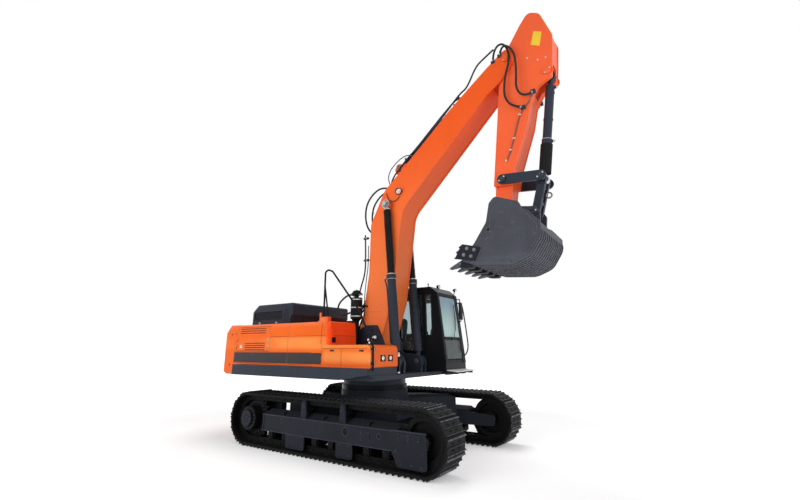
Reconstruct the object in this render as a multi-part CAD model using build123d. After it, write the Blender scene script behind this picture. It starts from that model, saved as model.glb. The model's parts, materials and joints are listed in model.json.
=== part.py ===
from build123d import *
import math
import os

# Crawler excavator, millimetres. X is forward, Y is left, Z is up.
# The origin is on the swing axis at ground level. The arm stands raised with the stick drawn in.

# General clearances
FIT = 0.05              # running fit of a pin in its bore, on the radius
SEAT = 0.3              # gap of a piece that rests on another body
SIDE_PLAY = 8.0         # gap between the cheeks of a pin joint
PANEL_GAP = 8.0         # gap round a door or a lid
HINGE_OUT = 15.0        # door hinge axis from the door's outer face
HINGE_R = 14.0
HINGE_PIN_R = 7.0
KNUCKLE_H = 45.0
HINGE_LEAF = 45.0

# Tracks
TUMBLER_HALF = 2020.0   # swing axis to sprocket or idler axis, along X
TUMBLER_Z = 500.0
TRACK_Y = 1340.0        # centre line of a track
SHOE_W = 600.0
SHOE_COUNT = 49
PITCH_R = 400.0         # pitch line round sprocket and idler
LINK_OUT = 58.0         # pitch line to the underside of a shoe
LINK_IN = 60.0          # pitch line to the rail that the rollers run on
BAND_T = 20.0           # chain that closes the loop under the shoes
PLATE_T = 14.0
GROUSER_H = 28.0
GROUSER_FOOT = 18.0
SHOE_GAP = 12.0
RAIL_Y = 102.0          # rail centre from the track centre line
RAIL_T = 44.0
LINKS_ROUND = 10        # straight links of a chain round half a tumbler

# Sprocket, idler and rollers
TOOTH_COUNT = 23
TOOTH_TIP_R = 424.0
TOOTH_ROOT_R = 366.0
TOOTH_W = 90.0
IDLER_FLANGE_R = 384.0
IDLER_FLANGE_W = 130.0
IDLER_HUB_R = 120.0
IDLER_WEB_HALF = 45.0
IDLER_RIM = 60.0
DRIVE_DRUM_R = 225.0
DRIVE_CAP_R = 150.0
ROLLER_R = 78.0
ROLLER_SHAFT_R = 38.0
COLLAR_HALF = 60.0      # half the width of a roller's collar
COLLAR_DROP = 45.0
ROLLER_COUNT = 8
CARRIER_R = 72.0
CARRIER_XS = (-490.0, 455.0)

# Track frames
FRAME_IN_Y = TRACK_Y - 210.0
FRAME_OUT_Y = TRACK_Y + 210.0
FRAME_REAR_X = 440.0 - TUMBLER_HALF
FRAME_FRONT_X = TUMBLER_HALF - 460.0
FRAME_LOW_Z = 350.0
FRAME_SIDE_Z = 600.0
FRAME_RIDGE_Z = 690.0
CHEEK_T = 50.0
GUARD_X0 = TUMBLER_HALF - 540.0
GUARD_X1 = TUMBLER_HALF + 90.0
GUARD_Z0 = 110.0
ROLLER_REAR_X = FRAME_REAR_X + 180.0
ROLLER_FRONT_X = FRAME_FRONT_X - 230.0
ROLLER_GUARDS = ((-900.0, -430.0), (340.0, 690.0))
ROLLER_GUARD_Z0 = 85.0

# Car body and swing ring
BODY_Z0 = 500.0
BODY_Z1 = 926.0
PEDESTAL_R = 690.0
RING_R = 680.0
RING_IN_R = 540.0
RING_Z0 = 1050.0
RING_SPLIT_Z = 1150.0
TOW_X = 780.0
TOW_Z = 670.0
TOW_R = 36.0
TOW_HALF_W = 80.0
TOW_T = 60.0

# Revolving deck
DECK_Z0 = 1300.0
DECK_Z1 = 1380.0
DECK_HALF_W = 1400.0
DECK_FRONT_X = 1000.0
BEAM_IN_Y = 308.0
BEAM_T = 55.0
BEAM_REAR_X = -980.0
LUG_T = 34.0

# House
SIDE_Y = DECK_HALF_W + 50.0
HOUSE_Z0 = 1520.0          # foot of the side panels
HOUSE_TOP_Z = 2350.0
CREASE_Z = 2085.0       # the side panels lean in above this fold
PANEL_LEAN = 26.0
TOP_ROUND = 30.0
HOUSE_REAR_X = -2860.0
WEIGHT_FRONT_X = HOUSE_REAR_X - PANEL_GAP
DECK_REAR_X = WEIGHT_FRONT_X + SEAT
HOUSE_FRONT_X = -1140.0
LEFT_FRONT_X = -460.0
WALL = 40.0
DOOR_REAR_X = -2800.0
DOOR_FRONT_X = -1700.0
DOOR_Z0 = 1790.0
DOOR_Z1 = 2300.0
SIDE_HINGE_Z = (1840.0, 1985.0)
HATCH_REAR_X = -2740.0
HATCH_FRONT_X = -1800.0
HATCH_HALF_W = 820.0
ENGINE_HALF_W = 950.0
ENGINE_REAR_X = HOUSE_REAR_X + 160.0
ENGINE_FRONT_X = DOOR_FRONT_X - 120.0
ENGINE_TOP_Z = HOUSE_TOP_Z - 180.0
HOOD_REAR_X = -3060.0
HOOD_FRONT_X = -1665.0
HOOD_UNDERCUT = 60.0    # how far the lower front stands back
HOOD_LIP_Z = 2590.0
HOOD_RIGHT_Y = -890.0
HOOD_LEFT_Y = 1070.0
HOOD_Z0 = 2380.0
HOOD_Z1 = 2850.0
HOOD_REAR_Z = 2695.0
HOOD_REAR_CUT = 190.0
HOOD_ROUND = 40.0
HOOD_WALL = 30.0
HOOD_RECESS = (-2975.0, -1985.0, 2475.0, 2690.0, 12.0)
HOOD_HINGE_X = (-2500.0, -1850.0)
TAIL_R = 3560.0
WEIGHT_Z0 = 1300.0
WEIGHT_Z1 = 2360.0
TANK_FRONT_X = 0.0
TANK_IN_Y = 660.0
TANK_CORNER_R = 100.0
TOOL_REAR_X = -190.0
TOOL_FRONT_X = 975.0
TOOL_IN_Y = 600.0
TOOL_Z1 = 1910.0
TOOL_NOSE_R = 90.0
WALK_Y = DECK_HALF_W + 200.0
WALK_Z0 = 1315.0
WALK_Z1 = 1515.0
WALK_REAR_X = -2680.0
WALK_STEP_X = 400.0
WALK_FRONT_X = 980.0
RAIL_R = 18.0
RAIL_Y_PLANE = SIDE_Y - 20.0   # plane of the access rail
RAIL_PATH = (
    # x, z of the rail from its foot on the tanks over the steps and down to the deck
    (-190.0, 2430.0), (-190.0, 3310.0), (-120.0, 3355.0), (0.0, 3310.0), (700.0, 2500.0), (860.0, 2180.0),
    (960.0, 1960.0), (1012.0, 1880.0), (1012.0, 1470.0),
)
RAIL_BRACKET_ZS = (1600.0, 1840.0)
RAIL_STRUT = ((-190.0, 3050.0), (-70.0, 2430.0))
RAIL_PAD_Z = 2435.0     # top of the pad on the tanks that carries the rail

CLEANER_X = -160.0
CLEANER_Y = -460.0
CLEANER_STACK = (
    # lower radius, upper radius, from z, to z
    (62.0, 62.0, DECK_Z1 + SEAT, 2480.0),
    (125.0, 125.0, 2450.0, 2890.0),
    (48.0, 48.0, 2880.0, 2970.0),
    (138.0, 70.0, 2955.0, 3045.0),
)

# Cab
CAB_IN_Y = 540.0
CAB_OUT_Y = DECK_HALF_W + 90.0
CAB_REAR_X = -380.0
CAB_FLOOR_Z = 1400.0
CAB_ROOF_Z = 3150.0
CAB_NOSE_X = 1410.0
CAB_BROW_X = 1250.0
CAB_WALL = 55.0
CAB_DOOR_REAR_X = 330.0
CAB_DOOR_FRONT_X = 1150.0
CAB_DOOR_Z0 = 1570.0
CAB_DOOR_Z1 = 2990.0
CAB_HINGE_Z = (1720.0, 2760.0)
CAB_GLASS_Z0 = 2180.0
CAB_GLASS_Z1 = 2990.0
DOOR_GLASS_Z0 = 2080.0
SCREEN_BAR_Z = 2060.0   # bar between the two halves of the windscreen
SCREEN_BAR = 40.0
GLASS_T = 10.0

# Boom, seen from the side: along the chord from the foot pin, and off it to the back
FOOT_X = 150.0
FOOT_Z = 1970.0
BOOM_LENGTH = 6428.0
BOOM_ANGLE = 59.0
BOOM_HALF_W = 300.0
BOOM_PLATE_T = 24.0
BOOM_LIP = 20.0         # how far the side plates stand past the top and bottom plates
BOOM_FORK_T = 45.0
BOOM_FORK_R = 660.0     # room for the stick between the fork ears
FOOT_PIN_R = 60.0
TIP_BOSS_R = 150.0
TIP_PIN_R = 55.0
BOOM_CYL_U = 2730.0     # rod pin of the boom cylinders on the boom
BOOM_CYL_V = 1112.0
ARM_BASE_U = 3617.0     # base pin of the arm cylinder on the boom's back
ARM_BASE_V = 1489.0

# Stick, seen from the side: down from its pivot, and off it to the front
STICK_LENGTH = 3206.0
STICK_ANGLE = -96.3
STICK_HALF_W = 245.0
STICK_PLATE_T = 20.0
STICK_LIP = 15.0
STICK_TIP_HALF_W = 170.0
ARM_ROD_S = -789.0      # rod pin of the arm cylinder
ARM_ROD_T = 406.0
BUCKET_BASE_S = 497.0   # base pin of the bucket cylinder
BUCKET_BASE_T = 798.0
SIDE_LINK_S = STICK_LENGTH - 620.0    # pin of the side links
SIDE_LINK_T = -12.0
ARM_PIN_R = 50.0

# Bucket, from its pin: along the line to its second pin, and off it upwards
BUCKET_SPAN = 567.0     # bucket pin to second pin
BUCKET_ANGLE = -12.5
BUCKET_HALF_W = 750.0
BUCKET_SIDE_T = 40.0
BUCKET_SHELL_T = 35.0
EAR_IN_Y = 182.0
EAR_T = 50.0
TOOTH_N = 5
LINK_U = 618.0          # link pin from the bucket pin, in the bucket's frame at rest
LINK_V = 688.0
LINK_PIN_R = 45.0
SIDE_LINK_IN_Y = 252.0
SIDE_LINK_T_Y = 45.0
SIDE_LINK_R = 95.0
H_LINK_HALF_W = 150.0
H_LINK_R = 70.0

# Cylinders
BOOM_CYL_BASE_X = 840.0
BOOM_CYL_BASE_Z = 1600.0
BOOM_CYL_Y = 420.0
BOOM_CYL_R = 90.0
BOOM_ROD_R = 52.0
BOOM_BARREL = 1720.0
BOOM_ROD_IN = 1470.0
ARM_CYL_R = 88.0
ARM_ROD_R = 55.0
ARM_BARREL = 1900.0
ARM_ROD_IN = 1700.0
BUCKET_CYL_R = 82.0
BUCKET_ROD_R = 45.0
BUCKET_ROD_OUT = 695.0  # link pin to the end of its barrel at rest
BUCKET_ROD_HELD = 140.0
CYL_EYE_HALF_W = 55.0
BARREL_NECK = 200.0     # base pin to the barrel's full round
NECK_R = 50.0
BOOT_T = 22.0
BOOT_GAP = 8.0
GUARD_IN_R = 100.0
GUARD_WALL = 9.0
GUARD_STOP = 28.0       # end of the sleeve to the rod's eye


def point(origin, angle, along, off):
    """A point from its distances along and off a line that leaves origin at an angle."""
    a = math.radians(angle)
    x = origin[0] + along * math.cos(a) - off * math.sin(a)
    z = origin[1] + along * math.sin(a) + off * math.cos(a)
    return (x, z)


FOOT = (FOOT_X, FOOT_Z)
BOOM_TIP = point(FOOT, BOOM_ANGLE, BOOM_LENGTH, 0)
BUCKET_PIN = point(BOOM_TIP, STICK_ANGLE, STICK_LENGTH, 0)
SECOND_PIN = point(BUCKET_PIN, BUCKET_ANGLE, BUCKET_SPAN, 0)
LINK_PIN = point(BUCKET_PIN, BUCKET_ANGLE, LINK_U, LINK_V)
SIDE_LINK_PIN = point(BOOM_TIP, STICK_ANGLE, SIDE_LINK_S, SIDE_LINK_T)
BOOM_CYL_BASE = (BOOM_CYL_BASE_X, BOOM_CYL_BASE_Z)
BOOM_CYL_ROD = point(FOOT, BOOM_ANGLE, BOOM_CYL_U, BOOM_CYL_V)
ARM_CYL_BASE = point(FOOT, BOOM_ANGLE, ARM_BASE_U, ARM_BASE_V)
ARM_CYL_ROD = point(BOOM_TIP, STICK_ANGLE, ARM_ROD_S, ARM_ROD_T)
BUCKET_CYL_BASE = point(BOOM_TIP, STICK_ANGLE, BUCKET_BASE_S, BUCKET_BASE_T)
BUCKET_BARREL = math.dist(BUCKET_CYL_BASE, LINK_PIN) - BUCKET_ROD_OUT


def joined(shapes):
    """All shapes fused into one."""
    shapes = list(shapes)
    return shapes[0].fuse(*shapes[1:]) if len(shapes) > 1 else shapes[0]


def side_face(corners):
    """A flat outline in the XZ plane from (x, z, corner radius) rows."""
    points = [(x, z) for x, z, r in corners]
    radii = [r for x, z, r in corners]
    if max(radii) == 0:
        return make_face(Polyline(*points, close=True))
    return make_face(FilletPolyline(*points, radius=radii, close=True))


def side_plate(corners, y0, y1):
    """An outline seen from the side, as thick as y0 to y1."""
    plane = Plane(origin=(0, y1, 0), x_dir=(1, 0, 0), z_dir=(0, -1, 0))
    return extrude(plane * side_face(corners), y1 - y0)


def plan_plate(corners, z0, z1):
    """An outline seen from above from (x, y, corner radius) rows, as high as z0 to z1."""
    return extrude(Plane.XY.offset(z0) * side_face(corners), z1 - z0)


def both(y0, y1):
    """The same span of Y on both sides of the machine."""
    return ((y0, y1), (-y1, -y0))


def box(x0, x1, y0, y1, z0, z1):
    return Pos((x0 + x1) / 2, (y0 + y1) / 2, (z0 + z1) / 2) * Box(x1 - x0, y1 - y0, z1 - z0)


def pin_y(center, radius, y0, y1):
    """A round bar along Y, centred on an (x, z) point."""
    return Pos(center[0], (y0 + y1) / 2, center[1]) * Rot(90, 0, 0) * Cylinder(radius, y1 - y0)


def bar(start, end, radius, s0, s1, y):
    """A round bar along the line between two (x, z) points, from s0 to s1 along it."""
    length = math.dist(start, end)
    dx = (end[0] - start[0]) / length
    dz = (end[1] - start[1]) / length
    plane = Plane(origin=(start[0] + dx * s0, y, start[1] + dz * s0), x_dir=(0, 1, 0), z_dir=(dx, 0, dz))
    return extrude(plane * Circle(radius), s1 - s0)


def tube(points, radius, bend):
    """A bent tube through a list of points."""
    path = FilletPolyline(*points, radius=bend)
    start = path @ 0
    return sweep(Plane(origin=start, z_dir=path % 0) * Circle(radius), path=path)


def on_loop(s, out):
    """The point at s along the track's pitch line and the given distance outside it."""
    straight = 2 * TUMBLER_HALF
    arc = math.pi * PITCH_R
    s = s % (2 * straight + 2 * arc)
    if s < straight:
        return (-TUMBLER_HALF + s, TUMBLER_Z - PITCH_R - out), (1, 0)
    s -= straight
    if s < arc:
        a = s / PITCH_R - math.pi / 2
        r = PITCH_R + out
        return (TUMBLER_HALF + r * math.cos(a), TUMBLER_Z + r * math.sin(a)), (-math.sin(a), math.cos(a))
    s -= arc
    if s < straight:
        return (TUMBLER_HALF - s, TUMBLER_Z + PITCH_R + out), (-1, 0)
    a = (s - straight) / PITCH_R + math.pi / 2
    r = PITCH_R + out
    return (-TUMBLER_HALF + r * math.cos(a), TUMBLER_Z + r * math.sin(a)), (-math.sin(a), math.cos(a))


def shoe_profile(pitch):
    """One shoe with its three grousers, from (along, out) points, and the foot of the gap before it."""
    half = (pitch - SHOE_GAP) / 2
    plate = LINK_OUT + PLATE_T
    top = plate + GROUSER_H
    return ((-pitch / 2, LINK_OUT), (-half, top), (-half + GROUSER_FOOT, plate), (-GROUSER_FOOT, plate),
            (0, top), (GROUSER_FOOT, plate), (half - GROUSER_FOOT, plate), (half, top))


def loop_slot(radius, y0, y1):
    """A solid slot round both tumblers, in straight links that stay outside the radius."""
    step = math.pi / LINKS_ROUND
    corner_r = radius / math.cos(step / 2)
    outline = []
    for end, start in ((TUMBLER_HALF, -math.pi / 2), (-TUMBLER_HALF, math.pi / 2)):
        for i in range(LINKS_ROUND):
            a = start + (i + 0.5) * step
            outline.append((end + corner_r * math.cos(a), TUMBLER_Z + corner_r * math.sin(a), 0))
    return side_plate(outline, y0, y1)


def track(side):
    pitch = (4 * TUMBLER_HALF + 2 * math.pi * PITCH_R) / SHOE_COUNT
    outline = []
    for i in range(SHOE_COUNT):
        (cx, cz), (tx, tz) = on_loop((i + 0.5) * pitch, 0)
        for along, out in shoe_profile(pitch):
            outline.append((cx + tx * along + tz * out, max(cz + tz * along - tx * out, 0), 0))
    y = side * TRACK_Y
    band = side_plate(outline, y - SHOE_W / 2, y + SHOE_W / 2)
    band -= loop_slot(PITCH_R + LINK_OUT - BAND_T, y - SHOE_W / 2, y + SHOE_W / 2)
    rails = []
    for rail in (-RAIL_Y, RAIL_Y):
        y0 = y + rail - RAIL_T / 2
        outer = loop_slot(PITCH_R + LINK_OUT - BAND_T / 2, y0, y0 + RAIL_T)
        rails.append(outer - loop_slot(PITCH_R - LINK_IN, y0, y0 + RAIL_T))
    return joined([band] + rails)


def wheel(center, side, rows):
    """A turned wheel from (radius, half width) rows, largest radius last."""
    return joined(pin_y(center, r, side * TRACK_Y - w, side * TRACK_Y + w) for r, w in rows)


def idler(side):
    center = (TUMBLER_HALF, TUMBLER_Z)
    tread = PITCH_R - LINK_IN - SEAT
    half = RAIL_Y + RAIL_T / 2
    hub = FRAME_OUT_Y - CHEEK_T - TRACK_Y - SEAT
    body = wheel(center, side, ((IDLER_HUB_R, hub), (tread, half), (IDLER_FLANGE_R, IDLER_FLANGE_W / 2)))
    for y0, y1 in both(IDLER_WEB_HALF, half + 1):
        ring = pin_y(center, tread - IDLER_RIM, side * TRACK_Y + y0, side * TRACK_Y + y1)
        body -= ring - pin_y(center, IDLER_HUB_R, side * TRACK_Y + y0 - 1, side * TRACK_Y + y1 + 1)
    return body


def sprocket(side):
    center = (-TUMBLER_HALF, TUMBLER_Z)
    y = side * TRACK_Y
    step = 2 * math.pi / TOOTH_COUNT
    outline = []
    for i in range(TOOTH_COUNT):
        for turn, r in ((-0.36, TOOTH_ROOT_R), (-0.12, TOOTH_TIP_R), (0.12, TOOTH_TIP_R), (0.36, TOOTH_ROOT_R)):
            a = (i + turn) * step
            outline.append((center[0] + r * math.cos(a), center[1] + r * math.sin(a), 0))
    disc = side_plate(outline, y - TOOTH_W / 2, y + TOOTH_W / 2)
    inner = side * (FRAME_IN_Y + CHEEK_T + SEAT)
    face = side * (TRACK_Y + SHOE_W / 2 - 20)
    collar = side * (TRACK_Y + SHOE_W / 2 - 60)
    drum = pin_y(center, DRIVE_DRUM_R, *sorted((inner, collar)))
    cap = pin_y(center, DRIVE_CAP_R, *sorted((collar, face)))
    return joined((disc, drum, cap))


def bottom_rollers(side):
    """Track rollers with the collars that hang them under the track frame."""
    z = TUMBLER_Z - PITCH_R + LINK_IN + SEAT + ROLLER_R
    half = RAIL_Y + RAIL_T / 2
    collar = FRAME_OUT_Y - TRACK_Y - 40
    parts = []
    for i in range(ROLLER_COUNT):
        x = ROLLER_REAR_X + i * (ROLLER_FRONT_X - ROLLER_REAR_X) / (ROLLER_COUNT - 1)
        roller = wheel((x, z), side, ((ROLLER_R, half),))
        for y0, y1 in both(half - 1, collar):
            y0, y1 = side * TRACK_Y + y0, side * TRACK_Y + y1
            roller += box(x - COLLAR_HALF, x + COLLAR_HALF, y0, y1, z - COLLAR_DROP, FRAME_LOW_Z - SEAT)
        parts.append(roller)
    return Compound(children=parts)


def carrier_rollers(side):
    z = TUMBLER_Z + PITCH_R - LINK_IN - SEAT - CARRIER_R
    half = RAIL_Y + RAIL_T / 2
    reach = FRAME_OUT_Y - CHEEK_T - TRACK_Y - SEAT
    parts = [wheel((x, z), side, ((ROLLER_SHAFT_R, reach), (CARRIER_R, half))) for x in CARRIER_XS]
    return Compound(children=parts)


def track_frame(side):
    """A box beam with a ridged top, cheeks for idler and drive, and the long outer guard."""
    ridge_y = (FRAME_IN_Y + FRAME_OUT_Y) / 2
    section = ((FRAME_IN_Y, FRAME_LOW_Z), (FRAME_OUT_Y, FRAME_LOW_Z), (FRAME_OUT_Y, FRAME_SIDE_Z),
               (ridge_y, FRAME_RIDGE_Z), (FRAME_IN_Y, FRAME_SIDE_Z + 40))
    plane = Plane(origin=(FRAME_REAR_X, 0, 0), x_dir=(0, 1, 0), z_dir=(1, 0, 0))
    face = make_face(Polyline(*[(side * y, z) for y, z in section], close=True))
    frame = extrude(plane * face, FRAME_FRONT_X - FRAME_REAR_X)
    outer = sorted((side * (FRAME_OUT_Y - CHEEK_T), side * FRAME_OUT_Y))
    inner = sorted((side * FRAME_IN_Y, side * (FRAME_IN_Y + CHEEK_T)))
    nose = ((FRAME_FRONT_X - 60, FRAME_LOW_Z, 0), (GUARD_X1, TUMBLER_Z - 130, 60),
            (GUARD_X1 + 40, TUMBLER_Z + 60, 60), (FRAME_FRONT_X - 60, FRAME_SIDE_Z, 0))
    tail = ((FRAME_REAR_X + 60, FRAME_LOW_Z, 0), (FRAME_REAR_X + 60, FRAME_SIDE_Z + 40, 0),
            (-TUMBLER_HALF - 240, TUMBLER_Z + 170, 120), (-TUMBLER_HALF - 240, TUMBLER_Z - 190, 120))
    guard = ((GUARD_X0, FRAME_SIDE_Z + 10, 0), (GUARD_X0, FRAME_LOW_Z - 20, 40), (GUARD_X0 + 110, GUARD_Z0, 30),
             (GUARD_X1, GUARD_Z0, 60), (GUARD_X1, FRAME_SIDE_Z + 10, 60))
    frame += side_plate(nose, *outer)
    frame += side_plate(nose, *inner)
    frame += side_plate(tail, *inner)
    lip = sorted((side * (FRAME_OUT_Y - 10), side * (FRAME_OUT_Y + 20)))
    frame += side_plate(guard, *lip)
    skirt = ((FRAME_REAR_X, FRAME_LOW_Z - 30, 0), (GUARD_X0, FRAME_LOW_Z - 30, 0), (GUARD_X0, FRAME_SIDE_Z + 10, 0),
             (FRAME_REAR_X, FRAME_SIDE_Z + 10, 0))
    frame += side_plate(skirt, *lip)
    for x0, x1 in ROLLER_GUARDS:
        frame += side_plate(((x0, ROLLER_GUARD_Z0, 40), (x1, ROLLER_GUARD_Z0, 40), (x1, FRAME_LOW_Z, 0), (x0, FRAME_LOW_Z, 0)), *lip)
    for x in CARRIER_XS:
        post = ((x - 75, FRAME_SIDE_Z - 20, 0), (x + 75, FRAME_SIDE_Z - 20, 0),
                (x + 50, TUMBLER_Z + PITCH_R + 30, 20), (x - 50, TUMBLER_Z + PITCH_R + 30, 20))
        frame += side_plate(post, *outer)
    return frame


def car_body():
    """The centre section with its four legs and the round pedestal of the swing ring."""
    quarter = ((1300, FRAME_IN_Y), (600, FRAME_IN_Y), (260, FRAME_IN_Y - 330))
    outline = [(x, y, 0) for x, y in quarter]
    outline += [(-x, y, 0) for x, y in reversed(quarter)]
    outline += [(-640, 420, 0), (-640, -420, 0)]
    outline += [(-x, -y, 0) for x, y in quarter]
    outline += [(x, -y, 0) for x, y in reversed(quarter)]
    outline += [(640, -420, 0), (640, 420, 0)]
    body = plan_plate(outline, BODY_Z0, BODY_Z1)
    body = chamfer(body.edges().filter_by(Plane.XY).group_by(Axis.Z)[-1], 60)
    pedestal = Pos(0, 0, (BODY_Z0 + 40 + RING_Z0) / 2) * Cylinder(PEDESTAL_R, RING_Z0 - BODY_Z0 - 40)
    bore = Pos(0, 0, RING_Z0 - 60) * Cylinder(RING_IN_R, 121)
    body = body + pedestal - bore
    for sign in (1, -1):
        x0, x1 = sorted((sign * (TOW_X - 120), sign * TOW_X))
        body += box(x0, x1, -TOW_HALF_W, TOW_HALF_W, TOW_Z - TOW_T / 2, TOW_Z + TOW_T / 2)
        body += Pos(sign * TOW_X, 0, TOW_Z) * Cylinder(TOW_HALF_W, TOW_T)
        body -= Pos(sign * TOW_X, 0, TOW_Z) * Cylinder(TOW_R, TOW_T + 2)
    return body


def swing_ring():
    mid = (RING_Z0 + RING_SPLIT_Z) / 2
    height = RING_SPLIT_Z - RING_Z0
    return Pos(0, 0, mid) * (Cylinder(RING_R, height) - Cylinder(RING_IN_R, height))


def deck():
    """The revolving frame: deck plate, swing ring upper half and the boom brackets."""
    plate = plan_plate(((DECK_REAR_X, -DECK_HALF_W, 60), (DECK_FRONT_X, -DECK_HALF_W, 60),
                        (DECK_FRONT_X, DECK_HALF_W, 60), (DECK_REAR_X, DECK_HALF_W, 60)), DECK_Z0, DECK_Z1)
    ring_z0 = RING_SPLIT_Z + SEAT
    ring = Pos(0, 0, (ring_z0 + DECK_Z0 + 10) / 2) * Cylinder(RING_R - 30, DECK_Z0 + 10 - ring_z0)
    ring -= Pos(0, 0, ring_z0) * Cylinder(RING_IN_R - 40, 2 * (DECK_Z0 - ring_z0 - 40))
    parts = [plate, ring]
    x, z = BOOM_CYL_BASE
    bracket = ((BEAM_REAR_X, DECK_Z1 - 10, 0), (BEAM_REAR_X, DECK_Z1 + 330, 0), (FOOT_X - 480, DECK_Z1 + 420, 80),
               (FOOT_X - 330, FOOT_Z + 250, 60), (FOOT_X - 110, FOOT_Z + 345, 60), (FOOT_X + 140, FOOT_Z + 345, 40),
               (FOOT_X + 330, FOOT_Z - 20, 60), (FOOT_X + 330, z + 160, 60), (x + 60, z + 130, 90), (x + 140, z - 20, 60), (x + 110, DECK_Z1 - 10, 0))
    lug = ((x - 260, DECK_Z1 - 10, 0), (x - 60, z + 115, 70), (x + 60, z + 115, 90), (x + 130, z, 60),
           (x + 110, DECK_Z1 - 10, 0))
    for y0, y1 in both(BEAM_IN_Y, BEAM_IN_Y + BEAM_T):
        parts.append(side_plate(bracket, y0, y1))
    lug_y = BOOM_CYL_Y + CYL_EYE_HALF_W + SIDE_PLAY
    for y0, y1 in both(lug_y, lug_y + LUG_T):
        parts.append(side_plate(lug, y0, y1))
    parts.append(box(TOOL_REAR_X, TOOL_FRONT_X - 15, -SIDE_Y + 10, -TOOL_IN_Y, DECK_Z1 - 10, HOUSE_Z0 - SEAT))
    body = joined(parts)
    body -= pin_y(FOOT, FOOT_PIN_R + FIT, -SIDE_Y, SIDE_Y)
    body -= pin_y(BOOM_CYL_BASE, ARM_PIN_R + FIT, -SIDE_Y, SIDE_Y)
    return body


def deck_pins():
    reach = BEAM_IN_Y + BEAM_T + 20
    parts = [pin_y(FOOT, FOOT_PIN_R, -reach, reach)]
    for y0, y1 in both(BEAM_IN_Y - 5, BOOM_CYL_Y + CYL_EYE_HALF_W + SIDE_PLAY + LUG_T + 12):
        parts.append(pin_y(BOOM_CYL_BASE, ARM_PIN_R, y0, y1))
    return Compound(children=parts)


def counterweight():
    """The cast tail block, round about the swing axis and drawn in towards its top."""
    corner_x = -math.sqrt(TAIL_R**2 - SIDE_Y**2)
    front = WEIGHT_FRONT_X
    face = make_face([Line((front, -SIDE_Y), (corner_x, -SIDE_Y)),
                      ThreePointArc((corner_x, -SIDE_Y), (-TAIL_R, 0), (corner_x, SIDE_Y)),
                      Line((corner_x, SIDE_Y), (front, SIDE_Y)), Line((front, SIDE_Y), (front, -SIDE_Y))])
    block = extrude(Plane.XY.offset(WEIGHT_Z0) * face, WEIGHT_Z1 - WEIGHT_Z0)
    rear = block.edges().filter_by(Axis.Z).group_by(Axis.X)[0]
    block = fillet(rear, 160)
    top = block.faces().sort_by(Axis.Z)[-1].edges().filter_by(lambda e: e.center().X < front - 1)
    block = chamfer(top, 170, 90)
    low = block.faces().sort_by(Axis.Z)[0].edges().filter_by(lambda e: e.center().X < front - 1)
    return chamfer(low, 60)


def hinge_halves(place, side):
    """A hinge about a local Z axis: the knuckle with the pin reaches back along X, the other one forward."""
    y0, y1 = sorted((-side * (HINGE_OUT + 2), 0))
    pin = Pos(0, 0, KNUCKLE_H) * Cylinder(HINGE_PIN_R, 2 * KNUCKLE_H)
    barrel_low = Pos(0, 0, KNUCKLE_H / 2) * Cylinder(HINGE_R, KNUCKLE_H)
    fixed = barrel_low + box(-HINGE_LEAF, 0, y0, y1, 0, KNUCKLE_H) + pin
    top = KNUCKLE_H + SEAT
    barrel_high = Pos(0, 0, top + KNUCKLE_H / 2) * Cylinder(HINGE_R, KNUCKLE_H)
    moving = barrel_high + box(0, HINGE_LEAF, y0, y1, top, top + KNUCKLE_H)
    moving -= Pos(0, 0, top + KNUCKLE_H / 2) * Cylinder(HINGE_PIN_R + FIT, KNUCKLE_H + 2)
    return place * fixed, place * moving


LEAN_ROWS = (
    # outwards from a panel, z, corner radius: what it loses above its fold and at its rounded top
    (0.0, CREASE_Z, 0), (2.0, CREASE_Z, 0), (2.0, HOUSE_TOP_Z + 2, 0), (-PANEL_LEAN - 2 * TOP_ROUND, HOUSE_TOP_Z + 2, 0),
    (-PANEL_LEAN - 2 * TOP_ROUND, HOUSE_TOP_Z, 0), (-PANEL_LEAN, HOUSE_TOP_Z, TOP_ROUND),
)


def lean_wedge(x0, x1, side):
    """What the side panels lose above their fold."""
    plane = Plane(origin=(x0, 0, 0), x_dir=(0, 1, 0), z_dir=(1, 0, 0))
    face = side_face([(side * (SIDE_Y + out), z, r) for out, z, r in LEAN_ROWS])
    return extrude(plane * face, x1 - x0, dir=(1, 0, 0))


def side_housing():
    """The engine and pump house as one folded shell, open for its doors and its hood."""
    def outline(inset):
        return ((HOUSE_REAR_X + inset, -SIDE_Y + inset, 0), (HOUSE_FRONT_X - inset, -SIDE_Y + inset, 0),
                (HOUSE_FRONT_X - inset, CAB_IN_Y - 40 + inset, 0), (LEFT_FRONT_X - inset, CAB_IN_Y - 40 + inset, 0),
                (LEFT_FRONT_X - inset, SIDE_Y - inset, 0), (HOUSE_REAR_X + inset, SIDE_Y - inset, 0))
    shell = plan_plate(outline(0), DECK_Z1, HOUSE_TOP_Z)
    for side in (-1, 1):
        shell -= lean_wedge(HOUSE_REAR_X - 1, LEFT_FRONT_X + 1, side)
    shell -= plan_plate(outline(WALL), DECK_Z1 - 1, HOUSE_TOP_Z - WALL)
    shell -= box(HATCH_REAR_X, HATCH_FRONT_X, -HATCH_HALF_W, HATCH_HALF_W, HOUSE_TOP_Z - WALL - 1, HOUSE_TOP_Z + 1)
    for y0, y1 in both(SIDE_Y - WALL - 1, SIDE_Y + 1):
        shell -= box(DOOR_REAR_X, DOOR_FRONT_X, y0, y1, DOOR_Z0, DOOR_Z1)
    rim = box(HATCH_REAR_X - 40, HATCH_FRONT_X + 40, -HATCH_HALF_W - 40, HATCH_HALF_W + 40,
              HOUSE_TOP_Z - 1, HOOD_Z0 - SEAT)
    rim -= box(HATCH_REAR_X, HATCH_FRONT_X, -HATCH_HALF_W, HATCH_HALF_W, HOUSE_TOP_Z - 2, HOOD_Z0)
    shell += rim
    for side in (-1, 1):
        for z in SIDE_HINGE_Z:
            shell += side_hinge(side, z)[0]
    for x in HOOD_HINGE_X:
        shell += hood_hinge(x)[0]
    return shell


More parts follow.
